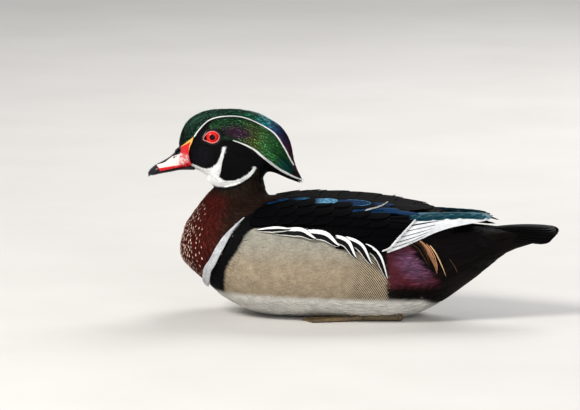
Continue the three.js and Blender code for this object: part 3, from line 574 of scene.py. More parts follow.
class Coat:
    """Feathers gathered for one piece, all closed meshes."""

    def __init__(self):
        self.parts = []
        self.count = 0

    def add(self, line, up, half, root_uv, colour, thick=0.0003, profile=PLATE, edge=None, vary=0.05,
            curve=0.0):
        """line and up are (n, m, 3) and half (n, m), from root to tip. colour takes the points, edge takes
        (across, along, half) and gives a distance for the banded materials, vary is the spread of
        brightness from feather to feather and curve how far a vane bends round the body, in 1/m."""
        n, m = line.shape[:2]
        k = len(profile)
        b, h = np.transpose(profile)
        along = unit(np.gradient(line, axis=1))
        across = unit(np.cross(along, up))
        lift = np.cross(across, along)
        ring = (line[:, :-1, None] + across[:, :-1, None] * (half[:, :-1, None] * b)[..., None]
                + lift[:, :-1, None] * (thick * h - curve / 2 * (half[:, :-1, None] * b) ** 2)[..., None])
        verts = np.concatenate([ring.reshape(n, -1, 3), line[:, -1:]], 1)
        size = verts.shape[1]
        j = np.arange(k)
        tip = (m - 1) * k
        tris = facing_out(verts[0], np.concatenate([
            grid_tris(m - 1, k), np.stack([tip - k + j, tip - k + (j + 1) % k, 0 * j + tip], 1),
            np.stack([0 * j[2:], j[2:], j[1:-1]], 1)]))
        vane = np.stack([np.tile(b, m - 1), np.repeat(np.linspace(0, 1, m)[:-1], k)], 1)
        vane = np.broadcast_to(np.concatenate([vane, [[0, 1]]]), (n, size, 2))
        flat = verts.reshape(-1, 3)
        rgba = (colour(flat) if callable(colour) else np.broadcast_to(colour, (len(flat), 4))).copy()
        spread = vary(line[:, 0]) if callable(vary) else vary
        pale = rgba[::size, :3].mean(1).clip(0, 1)
        tone = np.exp(rng.normal(0, 1, n).clip(-2, 2) * spread * (1 - 0.9 * pale))
        rgba[:, :3] *= np.repeat(tone[:, None], size, 0)
        bake = np.repeat(root_uv, size, 0).reshape(n, -1, 2) + 0.0015 * (vane * [1, 2] - [0, 1])
        distance = np.zeros((n, size))
        if edge:
            wide = np.concatenate([np.repeat(half[:, :-1], k, 1), half[:, -1:]], 1)
            distance = edge(vane[..., 0], vane[..., 1], wide)
        tris = tris[None] + (self.count + np.arange(n) * size)[:, None, None]
        self.count += n * size
        self.parts.append((flat, tris.reshape(-1, 3), rgba, bake.reshape(-1, 2),
                           vane.reshape(-1, 2) * [0.5, 1] + [0.5, 0], distance.ravel()))

    def place(self, side, p, normal, half, shape, head=False, **looks):
        """Feathers moved to their side, and turned with the head when they are on it."""
        p, normal = p * [1, side, 1], normal * [1, side, 1]
        if head:
            p, normal = to_world(p), turned(normal)
        self.add(p, normal, widened(half, shape, len(p)), unwrapped(p[:, 0]), **looks)

    def laid(self, rows, side, paths, half, lift, shape, roll=0.0, **looks):
        """Feathers over a loft. paths is (n, k, 2): rows and degrees down from the top, from root to tip.
        A roll tips a vane's normal up, so that its lower edge lies over the one below it."""
        inner = between_points(paths, shape)
        p, normal, upward = surface(rows, inner[..., 0], np.radians(90 - inner[..., 1]))
        normal = unit(normal + upward * roll)
        self.place(side, p + normal * eased(lift, shape["at"], 0.3)[..., None], normal, half, shape, **looks)

    def beside(self, side, lines, half, lift, shape, outer=envelope, roll=0.0, hung=False, bend=0.0,
               **looks):
        """Feathers over the bird's side. lines is (n, k, 2): x and z of the side view, from root to tip, of
        the vanes' middles or, when hung, of their upper edges."""
        flat = between_points(lines, shape)
        if hung:
            way = unit(np.gradient(flat, shape["at"], axis=1))
            below = np.stack([way[..., 1], -way[..., 0]], -1)
            flat += below * (widened(half, shape, len(flat)) * 0.97)[..., None]
        x, z = flat[..., 0], flat[..., 1]
        d = 0.0015
        slope_x = np.clip((outer(x + d, z) - outer(x - d, z)) / (2 * d), -2, 2)
        slope_z = np.clip((outer(x, z + d) - outer(x, z - d)) / (2 * d), -2, 2)
        one = np.ones_like(x)
        normal = unit(np.stack([-slope_x, one, -slope_z], -1))
        normal = unit(normal + unit(np.stack([0 * x, slope_z, one], -1)) * roll)
        p = np.stack([x, outer(x, z), z], -1) + normal * eased(lift, shape["at"], bend)[..., None]
        self.place(side, p, normal, half, shape, **looks)

    def made(self, name, material, slot, *nodes, flat=False):
        verts, tris, rgba, bake, vane, edge = (np.concatenate(x) for x in zip(*self.parts))
        verts[:, 2] = np.maximum(verts[:, 2], 0.0004)
        obj = mesh_object(name, verts, tris, rgba, np.clip(bake, 0.001, 0.999), vane, edge, flat)
        dressed(obj, material, slot, *nodes)


def strip_lines(line, widths, long, step, seed):
    """Short paths along a line of a side view, spread over its width: (n, 4, 2)."""
    local = np.random.default_rng(seed)
    fine = rows_at(line, np.linspace(0, len(line) - 1, 400))
    reach = np.concatenate([[0], np.cumsum(np.linalg.norm(np.diff(fine, axis=0), axis=1))])
    count = int(reach[-1] / step)
    start = np.sort(local.uniform(0, max(reach[-1] - long * 0.6, long * 0.2), count))
    across = np.interp(start / reach[-1], np.linspace(0, 1, len(widths)), widths)
    offset = (local.uniform(-1, 1, count) * across)[:, None]
    s = np.clip(start[:, None] + long * np.linspace(0, 1, 4), 0, reach[-1])
    x, z = np.interp(s, reach, fine[:, 0]), np.interp(s, reach, fine[:, 1])
    dx, dz = np.interp(s + 0.001, reach, fine[:, 0]) - x, np.interp(s + 0.001, reach, fine[:, 1]) - z
    size = np.hypot(dx, dz) + 1e-9
    return np.stack([x - dz / size * offset, z + dx / size * offset], 2)


class Look:
    """A material, with short ways to make and link its nodes."""

    def __init__(self, name):
        self.material = bpy.data.materials.new(name)
        self.material.use_nodes = True
        self.tree = self.material.node_tree
        self.tree.nodes.clear()
        self.shader = self.node("BsdfPrincipled")
        self.node("OutputMaterial", {"Surface": self.shader.outputs[0]})

    def fill(self, node, inputs):
        """Sets or links inputs by name or number, each a number, a colour or another node's output."""
        for key, value in inputs.items():
            if isinstance(value, bpy.types.NodeSocket):
                self.tree.links.new(value, node.inputs[key])
            else:
                node.inputs[key].default_value = value

    def node(self, kind, inputs=None, **settings):
        node = self.tree.nodes.new("ShaderNode" + kind)
        for key, value in settings.items():
            setattr(node, key, value)
        self.fill(node, inputs or {})
        return node

    def shade(self, inputs):
        self.fill(self.shader, inputs)

    def math(self, kind, a, b=0.0):
        return self.node("Math", {0: a, 1: b}, operation=kind).outputs[0]

    def place(self):
        return self.node("TexCoord").outputs["Object"]

    def noise(self, scale, detail=2.0, distortion=0.0):
        return self.node("TexNoise", {"Scale": scale, "Detail": detail, "Distortion": distortion,
                                      "Vector": self.place()}).outputs[0]

    def span(self, *values):
        """A value taken from between two numbers to between two others."""
        return self.node("MapRange", dict(enumerate(values))).outputs[0]

    def scaled(self, colour, factor):
        return self.node("VectorMath", {0: colour, "Scale": factor}, operation="SCALE").outputs[0]

    def mix(self, factor, a, b):
        return self.node("Mix", {0: factor, 6: a, 7: b}, data_type="RGBA").outputs[2]

    def bump(self, height, strength, distance):
        return self.node("Bump", {"Height": height, "Strength": strength, "Distance": distance}).outputs[0]

    def attribute(self, name, output="Color"):
        return self.node("Attribute", attribute_name=name).outputs[output]


# The flank's bars: rings about a line across the bird, through a centre.
BARRING = {"centre": (-0.045, 0, -0.01),
           "wave": {"Scale": 200, "Distortion": 2.2, "Detail": 1.0, "Detail Scale": 70}}
BAND_EDGE = 0.00015  # half the width over which a band's colour changes
RIDGE_SHADE_AND_LIGHT = (0.25, 0.12)  # painted shade between a vane's barbs and painted highlight on them: how far each darkens or brightens the colour


def plumage(name, metal=0.7, rough=(0.6, 0.3), barbs=60, slope=26, bands=(), barred=False, barb_depth=0.4,
            speck=0.25, mottle=0.12, mottle_scale=120, sheen=0.0, fringe=None, specular=0.06):
    """Feathers: painted colour, barbs and shaft from the vane's own map, gloss from the paint's fourth
    number. bands are (distance in metres, colour) from a feather's edge inwards."""
    n = Look(name)
    colour, gloss = n.attribute("Col"), n.attribute("Col", "Alpha")
    vane = n.node("SeparateXYZ", {0: n.node("UVMap", uv_map="vane").outputs[0]})
    across, along = vane.outputs[0], vane.outputs[1]
    side = n.math("ABSOLUTE", n.math("SUBTRACT", across, 0.5))
    if barred:
        # Fine and faint where the paint's fourth number is low, and strong where it is high.
        centred = n.node("VectorMath", {0: n.place(), 1: BARRING["centre"]}, operation="SUBTRACT")
        wave = n.node("TexWave", {**BARRING["wave"], "Vector": centred.outputs[0]}, wave_type="RINGS",
                      rings_direction="Y")
        fine = n.span(n.noise(900, 3.0, 1.5), 0.35, 0.65, 0.8, 1.13)
        coarse = n.span(wave.outputs["Fac"], 0.4, 0.62, 0.06, 1.45)
        colour = n.scaled(colour, n.span(gloss, 0, 1, fine, coarse))
    if bands:
        place = n.math("ADD", n.attribute("edge", "Fac"), n.span(n.noise(1400), 0, 1, -0.0004, 0.0004))
        for limit, band in bands:
            colour = n.mix(n.span(place, limit - BAND_EDGE, limit + BAND_EDGE, 1, 0), colour, (*band, 1))
    if fringe:
        colour = n.mix(n.span(side, 0.41, 0.47, 0, 1), colour, (*fringe, 1))
    shade = n.span(n.noise(2600), 0.25, 0.75, 1 - speck, 1 + speck)
    broad = n.span(n.noise(mottle_scale), 0.3, 0.7, 1 - mottle, 1 + mottle)
    colour = n.scaled(colour, n.math("MULTIPLY", shade, broad))
    phase = n.math("ADD", n.math("MULTIPLY", along, barbs), n.math("MULTIPLY", side, -slope))
    ridge = n.math("SINE", n.math("MULTIPLY", phase, 6.2832))
    # Painted shade in the grooves between the barbs and painted highlight on their ridges, following the
    # bump.
    dark, bright = RIDGE_SHADE_AND_LIGHT
    colour = n.scaled(colour, n.span(ridge, -1, 1, 1 - dark * barb_depth, 1 + bright * barb_depth))
    colour = n.scaled(colour, n.span(side, 0.012, 0.03, 0.75, 1))
    n.shade({"Base Color": colour, "Specular IOR Level": specular,
             "Normal": n.bump(ridge, 0.25 * barb_depth, 0.0002)})
    if barred:
        n.shade({"Roughness": rough[0]})
    else:
        n.shade({"Metallic": n.math("MULTIPLY", gloss, metal), "Roughness": n.span(gloss, 0, 1, *rough)})
    if sheen:
        n.shade({"Sheen Weight": sheen, "Sheen Roughness": 0.5})
    return n.material


def painted(name, rough, coat, speck, scale=900, bumps=0.1, subsurface=0.0):
    """Horn or bare skin in painted colours, with fine spots and bumps."""
    n = Look(name)
    spots = n.noise(scale, 3.0)
    n.shade({"Base Color": n.scaled(n.attribute("Col"), n.span(spots, 0.3, 0.7, 1 - speck, 1 + speck)),
             "Roughness": n.span(n.noise(500), 0.3, 0.7, rough * 0.8, rough * 1.2),
             "Normal": n.bump(spots, bumps, 0.0002), "Specular IOR Level": 0.25, "Coat Weight": coat,
             "Coat Roughness": 0.12, "Subsurface Weight": subsurface, "Subsurface Scale": 0.002})
    return n.material


def read(items, key, width, kind):
    values = np.zeros(width * len(items), kind)
    items.foreach_get(key, values)
    return values.reshape(-1, width)


def skin_mesh():
    """One closed skin from the flesh's lofts, each drawn in by the depth of its plumage."""
    head_verts, head_tris = loft(HEAD, 0, 13.4, 60, 48, -0.0007)
    obj = mesh_object("lofts", *joined([
        loft(BODY, 0, len(BODY) - 1, 60, 56, -0.0016), loft(NECK, 0, len(NECK) - 1, 30, 48, -0.0012),
        loft(MANTLE, 0.4, 8.3, 50, 48, -0.0034), (to_world(head_verts), head_tris)]))
    remesh = obj.modifiers.new("one", "REMESH")
    remesh.mode = "VOXEL"
    remesh.voxel_size = 0.0014
    soften = obj.modifiers.new("soft", "SMOOTH")
    soften.factor = 0.5
    soften.iterations = 8
    made = bpy.data.meshes.new_from_object(obj.evaluated_get(bpy.context.evaluated_depsgraph_get()))
    bpy.data.objects.remove(obj)
    made.calc_loop_triangles()
    p = read(made.vertices, "co", 3, np.float32).astype(float)
    tris = read(made.loop_triangles, "vertices", 3, np.int32)
    bpy.data.meshes.remove(made)
    p[:, 2] = np.maximum(p[:, 2], 0.0008)
    p[:, 0] += x_at(THROAT_DRAW, p[:, 2]) * smooth(-0.112 - p[:, 0], 0, 0.014)
    # Between the folded wings the back drops away.
    x, z = p[:, 0], p[:, 2]
    p[:, 2] = z - 0.0055 * smooth(x, 0.058, 0.085) * smooth(z, 0.083, 0.092) * smooth(0.112 - x, 0, 0.01)
    # The crown behind the eye is full, above the upper white line.
    q = to_head(p)
    over = smooth(q[:, 2] - np.interp(q[:, 0], *np.transpose(BROW_LINE[3:])), 0.001, 0.005)
    p[:, 2] += over * z_at(CROWN_RISE, q[:, 0]) * head_share(p)
    # Sockets for the eyes.
    for _, side in SIDES:
        d = np.hypot(q[:, 0] - EYE["x"], q[:, 2] - EYE["z"])
        dip = 0.0016 * (1 - smooth(d, 0.004, 0.009)) * (q[:, 1] * side > 0.008)
        p -= turned(np.stack([dip * 0, dip * side, dip * 0], 1))
    return p, tris


def vertex_normals(p, tris):
    face = np.cross(p[tris[:, 1]] - p[tris[:, 0]], p[tris[:, 2]] - p[tris[:, 0]])
    total = np.zeros_like(p)
    for k in range(3):
        np.add.at(total, tris[:, k], face)
    return unit(total)


skin_p, skin_tris = skin_mesh()
skin_n = vertex_normals(skin_p, skin_tris)
skin_tree = tree_over((skin_p, skin_tris))
face_n = unit(skin_n[skin_tris].sum(1))
face_normals = [Vector(v) for v in face_n]


def unwrapped(p):
    """A place on an unwrap of the skin's own shape: along the body or head, and round it."""
    head = head_share(p)
    q = to_head(p)
    u = np.where(head, 0.04 + (q[:, 0] + 0.06) * 7.6, 0.04 + (p[:, 0] + 0.16) * 2.7)
    middle = np.where(head, 0.147, np.interp(p[:, 0], [-0.15, -0.1, 0.05, 0.15], [0.058, 0.06, 0.05, 0.073]))
    v = np.arctan2(np.where(head, q[:, 1], p[:, 1]), p[:, 2] - middle) / (2 * math.pi) + 0.5
    return np.clip(np.stack([u, v], 1), 0.002, 0.998)


def scattered(wanted, spacing, seed):
    """Places over part of the skin, no two nearer than the spacing there, and the faces they are on."""
    local = np.random.default_rng(seed)
    centre = skin_p[skin_tris].mean(1)
    faces = np.nonzero(wanted(centre))[0]
    corners = skin_p[skin_tris[faces]]
    a, b, c = corners[:, 0], corners[:, 1], corners[:, 2]
    area = np.linalg.norm(np.cross(b - a, c - a), axis=1) / 2
    size = valued(spacing, centre[faces])
    pick = np.repeat(np.arange(len(faces)), local.poisson(area / size ** 2 * 4.5))
    local.shuffle(pick)
    r = local.random((len(pick), 2))
    flip = r.sum(1) > 1
    r[flip] = 1 - r[flip]
    points = a[pick] + (b - a)[pick] * r[:, :1] + (c - a)[pick] * r[:, 1:]
    size = size[pick]
    keys = np.floor(points / float(size.max())).astype(int).tolist()
    around = [(i, j, k) for i in (-1, 0, 1) for j in (-1, 0, 1) for k in (-1, 0, 1)]
    cells = {}
    chosen = []
    for index, ((x, y, z), (i, j, k), limit) in enumerate(zip(points.tolist(), keys, (size ** 2).tolist())):
        near = (q for di, dj, dk in around for q in cells.get((i + di, j + dj, k + dk), ()))
        if all((x - ox) ** 2 + (y - oy) ** 2 + (z - oz) ** 2 >= limit for ox, oy, oz in near):
            cells.setdefault((i, j, k), []).append((x, y, z))
            chosen.append(index)
    return points[chosen], faces[pick[chosen]]


def grown_from(points, faces, flow, length, lift, at, turn, seed):
    """Paths over the skin from each root: lines and normals, (n, m, 3)."""
    local = np.random.default_rng(seed)
    n, m = len(points), len(at)
    normal = face_n[faces]
    direction = flow(points)
    direction = unit(direction - normal * np.einsum("ij,ij->i", direction, normal)[:, None])
    direction = unit(direction + np.cross(normal, direction) * local.normal(0, turn, (n, 1)))
    line = np.zeros((n, m, 3))
    up = np.zeros((n, m, 3))
    for i in range(n):
        p, d, upward = Vector(points[i]), Vector(direction[i]), Vector(normal[i])
        for j in range(m):
            if j:
                p, _, face, _ = skin_tree.find_nearest(p + d * (length[i] * (at[j] - at[j - 1])))
                upward = face_normals[face]
                d = (d - upward * d.dot(upward)).normalized()
            line[i, j] = p
            up[i, j] = upward
    return line + up * eased(lift, at)[..., None], up


def tufted(name, side_name, wanted, spacing, flow, size, shape, material, slot, seed, lift, thick, vary,
           colour=paint, turn=0.12, frame=np.asarray):
    """One coat piece: small feathers over part of one side of the skin, as seen in a frame. size gives
    lengths and half widths."""
    side = dict(SIDES)[side_name]
    seed += side
    points, faces = scattered(lambda p: wanted(p) & (frame(p)[:, 1] * side >= 0), spacing, seed)
    n = len(points)
    local = np.random.default_rng(seed + 500)
    length = valued(size[0], points) * local.normal(1, 0.12, n).clip(0.7, 1.35)
    ends = np.stack([np.full(n, lift[0]), lift[1] * local.normal(1, 0.25, n).clip(0.4, 1.6)], 1)
    line, up = grown_from(points, faces, flow, length, ends, shape["at"], turn, seed + 900)
    widths = widened(valued(size[1], points), shape, n) * local.normal(1, 0.06, (n, len(shape["at"])))
    coat = Coat()
    coat.add(line, up, widths, unwrapped(points), colour, thick, TUFT, vary=vary)
    coat.made(f"{name}_{side_name}", material, slot, flat=True)


head_plumage = plumage("head_plumage", metal=0.8, rough=(0.5, 0.28), barbs=7, slope=5)
body_plumage = plumage("body_plumage", metal=0.6, rough=(0.6, 0.36), barbs=9, slope=6, speck=0.16,
                       specular=0.035)
flank_plumage = plumage("flank_plumage", rough=(0.7, 0.5), barbs=12, slope=8, barred=True, barb_depth=0.3,
                        speck=0.14, sheen=0.05)
white_plumage = plumage("white_plumage", rough=(0.6, 0.5), barbs=6, slope=4, barb_depth=0.2, speck=0.05)
under_plumage = plumage("under_plumage", metal=0.4, rough=(0.7, 0.45), barbs=0, slope=0, barb_depth=0.0)


def under_skin(name, verts, tris, slot, *nodes):
    """Skin below the feathers, in their colours a little darker."""
    obj = mesh_object(name, verts, tris, paint(verts) * [0.8, 0.8, 0.8, 1], unwrapped(verts),
                      np.zeros((len(verts), 2)))
    dressed(obj, under_plumage, slot, *nodes)


under_skin("bird_skin", skin_p, skin_tris, "breast_feathers", "torso", "neck", "head", "rump")


def head_flow(p):
    """Back from the bill over the crown, down the cheeks and towards the crest's tip."""
    x, y, z = to_head(p).T
    away = np.stack([x + 0.06, y * 0.25, (z - 0.14) * 0.9], 1)
    crest = np.stack([0.062 - x, -y * 0.6, 0.1165 - z], 1)
    share = smooth(x, -0.045, 0.03)[:, None]
    low = (smooth(0.15 - z, -0.004, 0.02) * smooth(x, -0.045, -0.03))[:, None]
    d = unit(away) * (1 - share) + unit(crest) * share
    return turned(d * (1 - low * 0.8) + unit(np.array([0.8, 0, -0.55])) * low * 0.8)


def body_flow(p):
    """Down the neck and breast, then back along the sides and belly."""
    x, y, z = p.T
    nape = smooth(z, 0.085, 0.11)
    down = np.stack([0 * x + 0.35, y * 3, 0 * x - 1], 1)
    back = np.stack([0 * x + 1, y * 0, -0.25 * smooth(-0.06 - x, 0, 0.04)], 1)
    share = np.clip(smooth(-0.118 - x, -0.03, 0.02) + nape * (x < -0.04), 0, 1)[:, None]
    hind = (smooth(x, -0.105, -0.08) * nape)[:, None]
    return (unit(down) * share + unit(back) * (1 - share)) * (1 - hind) + np.array([0.75, 0, -0.5]) * hind


def along_x(frame, x, values):
    """A function of points that follows their x in a frame."""
    return lambda p: np.interp(frame(p)[:, 0], x, values)


def on_head(p):
    """True where the head carries feathers: not in the bill's lobes, before its base or in an eye."""
    x, y, z = to_head(p).T
    bare = inside(x, z, LOBE) | (to_line(x, z, LOBE + LOBE[:1])[0] < 0.0004) | ((x < -0.05) & (z < 0.1495))
    eye = (np.hypot((x - EYE["x"]) / 1.1, z - EYE["z"]) < 0.0066) & (np.abs(y) > 0.008)
    return head_share(p) & ~bare & ~eye & (x < 0.05)


def head_vary(p):
    """The crown's feathers differ most in brightness, as small bright specks."""
    x, _, z = to_head(p).T
    crown = smooth(z - np.interp(x, [-0.05, -0.02, 0.02], [0.155, 0.174, 0.17]), 0, 0.004)
    return 0.1 + 0.3 * smooth(z - 0.6 * np.abs(x), 0.135, 0.145) + 0.4 * crown


def in_flank(p):
    x, _, z = p.T
    return (x > x_at(SHOULDER_REAR, z) - 0.001) & (x < 0.0405) & (z > 0.02) & (z < 0.095) & ~head_share(p)


def under_wing(p):
    """True where the wing's feathers lie over the skin, so that it needs no small ones."""
    x, _, z = p.T
    return (z > z_at(WING_LOW, x)) & (x > x_at(WING_FRONT, z) + 0.006) & (x < 0.105)


def breast_vary(p):
    """Near the flank the feathers hardly differ, so that its edge is clean."""
    x, _, z = p.T
    return np.where((x > x_at(SHOULDER_REAR, z) - 0.016) & (z < 0.1), 0.04, 0.32)


def breast_spacing(p):
    on_neck = to_head(p)[:, 2] > 0.098
    on_body = np.interp(p[:, 0], [-0.15, -0.1, -0.05, 0.04], [0.0017, 0.0019, 0.0024, 0.0028])
    return np.where(on_neck, 0.00125, on_body)


def glint_places(p):
    """The glossy parts of the head, which carry small bright feathers over the others as painted glints."""
    x, _, z = to_head(p).T
    behind = (to_line(x, z, CREST_LINE)[2] > 0) & (x > 0)
    crown = (to_line(x, z, BROW_LINE)[2] > 0) & (z > 0.155) & (x > -0.047)
    return (behind | crown | (z > 0.168) & (x > -0.024)) & (x < 0.047) & on_head(p)


def glint_colour(p):
    """Painted glints: the colours below made brighter, most of all on the dark forehead."""
    x, _, z = to_head(p).T
    forehead = smooth(-0.004 - x, 0, 0.02) * (to_line(x, z, BROW_LINE)[2] > 0)
    return paint(p) * np.stack([4.2 + 12 * forehead] * 3 + [1 + 0 * forehead], 1)


# The pale bar down the shoulder: its middle and its half widths.
SHOULDER_BAR = [(-0.0905, 0.0925), (-0.0965, 0.086), (-0.1036, 0.0774), (-0.1115, 0.064), (-0.1173, 0.0528),
                (-0.1226, 0.0448), (-0.128, 0.0265)]
SHOULDER_WIDTHS = [0.0001, 0.0012, 0.0028, 0.0031, 0.0033, 0.0036, 0.0034]
HEAD_X = [-0.05, -0.02, 0.02, 0.05]
HEAD_SIZE = (along_x(to_head, HEAD_X, [0.0026, 0.0038, 0.006, 0.008]),
             along_x(to_head, [-0.05, 0.03], [0.0004, 0.00058]))
BREAST_SIZE = (lambda p: breast_spacing(p) * 4, lambda p: breast_spacing(p) * 0.42)
for side_name, side in SIDES:
    tufted("head_feathers", side_name, on_head, along_x(to_head, HEAD_X, [0.0008, 0.001, 0.0013, 0.0015]),
           head_flow, HEAD_SIZE, SHORT, head_plumage, "head_feathers", 21, (-0.0002, 0.0004), 0.00012,
           head_vary, frame=to_head)
    tufted("neck_and_breast", side_name,
           lambda p: ~head_share(p) & ~in_flank(p) & ~under_wing(p) & (p[:, 0] < 0.042),
           breast_spacing, body_flow, BREAST_SIZE, SOFT, body_plumage, "breast_feathers", 31,
           (-0.0003, 0.0007), 0.00014, breast_vary)
    tufted("flank_feathers", side_name, lambda p: in_flank(p) & ~under_wing(p), 0.0019, body_flow,
           (0.012, 0.0016), SOFT, flank_plumage, "flank_feathers", 41, (-0.0003, 0.0003), 0.00008, 0.06,
           turn=0.05)
    tufted("rump_feathers", side_name,
           lambda p: (p[:, 0] >= 0.04) & ~in_flank(p) & ~under_wing(p) & (p[:, 0] < 0.125),
           0.002, body_flow, (0.0115, 0.0009), SOFT, body_plumage, "rump_feathers", 51, (-0.0003, 0.0009),
           0.00016, 0.25)
    tufted("breast_spots", side_name, lambda p: (p[:, 0] < -0.128) & (p[:, 2] > 0.04) & (p[:, 2] < 0.1),
           along_x(np.asarray, [-0.152, -0.14, -0.128], [0.0023, 0.003, 0.0046]), body_flow,
           (0.0026, along_x(np.asarray, [-0.152, -0.128], [0.0006, 0.00036])), DROP, white_plumage,
           "breast_feathers", 61, (0.0006, 0.0009), 0.0001, 0.7, colour=INK["spot"])
    shoulder = Coat()
    shoulder.beside(side, strip_lines(SHOULDER_BAR, SHOULDER_WIDTHS, 0.007, 0.00009, 65 + side), 0.0005,
                    (0.0002, 0.0009), HAIR, colour=INK["bar"], thick=0.00012, profile=TUFT, vary=0.3)
    shoulder.made(f"shoulder_bar_{side_name}", white_plumage, "breast_feathers")
# Small bright feathers over the glossy head: painted glints of its gloss.
for side_name, _ in SIDES:
    tufted("head_glints", side_name, glint_places, 0.00155, head_flow, (0.0016, 0.0003), SHORT, head_plumage,
           "head_feathers", 91, (0.0003, 0.0007), 0.0001, 0.6, colour=glint_colour, frame=to_head)


def level_paths(roots, tips, down):
    """Straight paths along a loft, from and to its rows."""
    return np.stack([np.stack([end, down], 1) for end in (roots, tips)], 1)


# The crest: long fine feathers from the crown and nape to one tip.
crest = Coat()
for _, side in SIDES:
    for low, high, count, depth in ((7.2, 9.6, 150, 0.0002), (9.6, 11.8, 130, 0.0004)):
        root = rng.uniform(low, high, count)
        down = rng.uniform(0, 180, count) * np.interp(root, [8.8, 9.6], [0.5, 1])
        tip = np.minimum(root + rng.uniform(3.2, 5.2, count), rng.uniform(13.6, 15.05, count))
        rise = np.interp(down, [15, 38], [0.0018, 0]) * (1 - smooth(tip, 11.4, 13.6))
        crest.laid(HEAD, side, level_paths(root, tip, down), rng.uniform(0.0007, 0.0011, count),
                   np.stack([0 * down - 0.0008, depth + rise], 1), HAIR, colour=paint, thick=0.00025,
                   profile=BLADE, head=True, vary=0.2)
crest.made("crest_plumes", head_plumage, "crest_feathers", "crest")

head_tree = tree_over(loft(HEAD, 0, 15, 90, 64))
# The white markings along each side of the head are rows of narrow feathers over the others. The two
# kinds say how long and wide a feather is, its cross section, the x from which it climbs over the
# crest's plumes and to which, by how much, and the lift of its root and tip.
LINE = {"long": 0.006, "half": 0.00032, "profile": BLADE, "climbs": (0.005, 0.025), "by": 0.0006,
        "lift": (-0.0003, 0.00035)}
BAR = {"long": 0.0045, "half": 0.00034, "profile": TUFT, "climbs": (0.002, 0.012), "by": 0.0007,
       "lift": (-0.0001, 0.0004)}
# Each line, its half widths, the step between two feathers, a seed and the kind.
WHITE_LINES = [(BROW_LINE[:-2] + [(0.0478, 0.1392), (0.0505, 0.1338)],
                [0.0003, 0.0002, 0.0001, 0.0004, 0.0003], 0.00022, 71, LINE),
               (CREST_LINE[:-1] + [(0.0594, 0.1194)],
                [0.0001, 0.0007, 0.0008, 0.0007, 0.0001], 0.0002, 73, LINE),
               *((line, widths, 0.00007, 75, BAR) for line, widths in BARS)]


def head_side(x, z):
    """The head's half width at places of its side view."""
    return side_hits(head_tree, x, z, 0.0)


for side_name, side in SIDES:
    lines = Coat()
    for line, widths, step, seed, kind in WHITE_LINES:
        paths = strip_lines(line, widths, kind["long"], step, seed + side)
        climb = smooth(paths[:, :1, 0], *kind["climbs"]) * kind["by"]
        lines.beside(side, paths, kind["half"], climb + kind["lift"], HAIR, outer=head_side,
                     colour=INK["white"], thick=0.0001, profile=kind["profile"], head=True)
    lines.made(f"white_lines_{side_name}", white_plumage, "head_feathers")

wing_plumage = plumage("wing_plumage", metal=0.8, barb_depth=0.25, speck=0.08, specular=0.015)
scapular_plumage = plumage("scapular_plumage", metal=0.8, rough=(0.55, 0.3), speck=0.15,
                           fringe=(0.026, 0.018, 0.014), specular=0.01)
primary_plumage = plumage("primary_plumage", metal=0.6, rough=(0.5, 0.32), barbs=50, slope=6,
                          barb_depth=0.05, speck=0.05,
                          bands=[(0.0082, (0.74, 0.75, 0.76)), (0.0011, (0.006, 0.006, 0.007))])
sky_plumage = plumage("sky_plumage", metal=0.05, rough=(0.6, 0.5), barbs=40, slope=20, barb_depth=0.8,
                      speck=0.55, mottle=0.55, mottle_scale=420, specular=0.02,
                      bands=[(0.0014, (0.04, 0.19, 0.33)), (0.0004, (0.004, 0.004, 0.006))])

# Rows of broad feathers down the wing: degrees down from the top, the last tip, the front and a lift.
TIERS = [(4, 0.074, -0.058, -0.0013), (15, 0.064, -0.066, -0.0007), (26, 0.056, -0.074, 0),
         (37, 0.048, -0.082, -0.0002), (47, 0.042, -0.085, -0.0005), (58, 0.036, -0.03, -0.0009),
         (69, 0.034, 0.006, -0.0012)]
# Long dark tertials along the back, over the wing's rear: root, tip, degrees down, lifts of root and tip.
TERTIALS = [(0.008, 0.0645, 20, -0.0008, 0.0006), (0.02, 0.067, 14, -0.001, -0.0004),
            (0.035, 0.071, 8, -0.001, -0.0014), (0.045, 0.077, 4, -0.0012, -0.0022),
            (0.052, 0.082, 3, -0.0014, -0.0028)]
# Rows over the wing's rear: degrees down and how deep they lie.
REAR_ROWS = [(3, 0.007), (11, 0.0068), (20, 0.0042), (30, 0.0014), (41, 0.001)]
# Bright feathers: x of the root and tip, degrees down, half width, colour, and the x where it begins.
BRIGHT = [(-0.076, -0.061, 26.5, 0.0022, "deep", -0.072), (-0.074, -0.052, 23, 0.003, "deep", -0.062),
          (-0.062, -0.0335, 21.5, 0.003, "azure", -0.049), (-0.045, -0.008, 25, 0.0072, "sky", -0.031),
          (-0.02, 0.022, 24, 0.0072, "navy", -0.009), (0.01, 0.042, 21, 0.0035, "navy", 0.024)]
SPECULUM = [[(0.0, 0.1005), (0.025, 0.1015), (0.048, 0.1)], [(0.018, 0.1), (0.04, 0.0995), (0.0655, 0.0963)]]
WHITE_TIPS = [(0.0371, 0.0676), (0.044, 0.0707), (0.0502, 0.0777), (0.0577, 0.0863), (0.0633, 0.0929)]
SILVER_LINE = [(0.0184, 0.1002), (0.0304, 0.1028), (0.0353, 0.1053)]
# The lowest and highest of the six primaries that show, from root to tip.
PRIMARY_LOW = [(0.0415, 0.0682), (0.0597, 0.0745), (0.0781, 0.083), (0.0955, 0.0878), (0.1112, 0.09),
               (0.1255, 0.0912)]
PRIMARY_HIGH = [(0.06, 0.0912), (0.074, 0.0925), (0.0889, 0.0932), (0.103, 0.0934), (0.1156, 0.0932),
                (0.127, 0.0918)]
WING = {"outer": wing_side, "curve": 20}


def mantle_paths(roots, tips, down, slant=0.0):
    """Paths over the folded wing from root to tip, each slanting down towards its root."""
    return [[(row_of(MANTLE, a), d + slant), (row_of(MANTLE, (a + b) / 2), d + slant / 2),
             (row_of(MANTLE, b), d)] for a, b, d in np.broadcast(roots, tips, down)]


def teal_from(p):
    return layered("wing", ("rear", smooth(p[:, 0], 0.057, 0.061)))


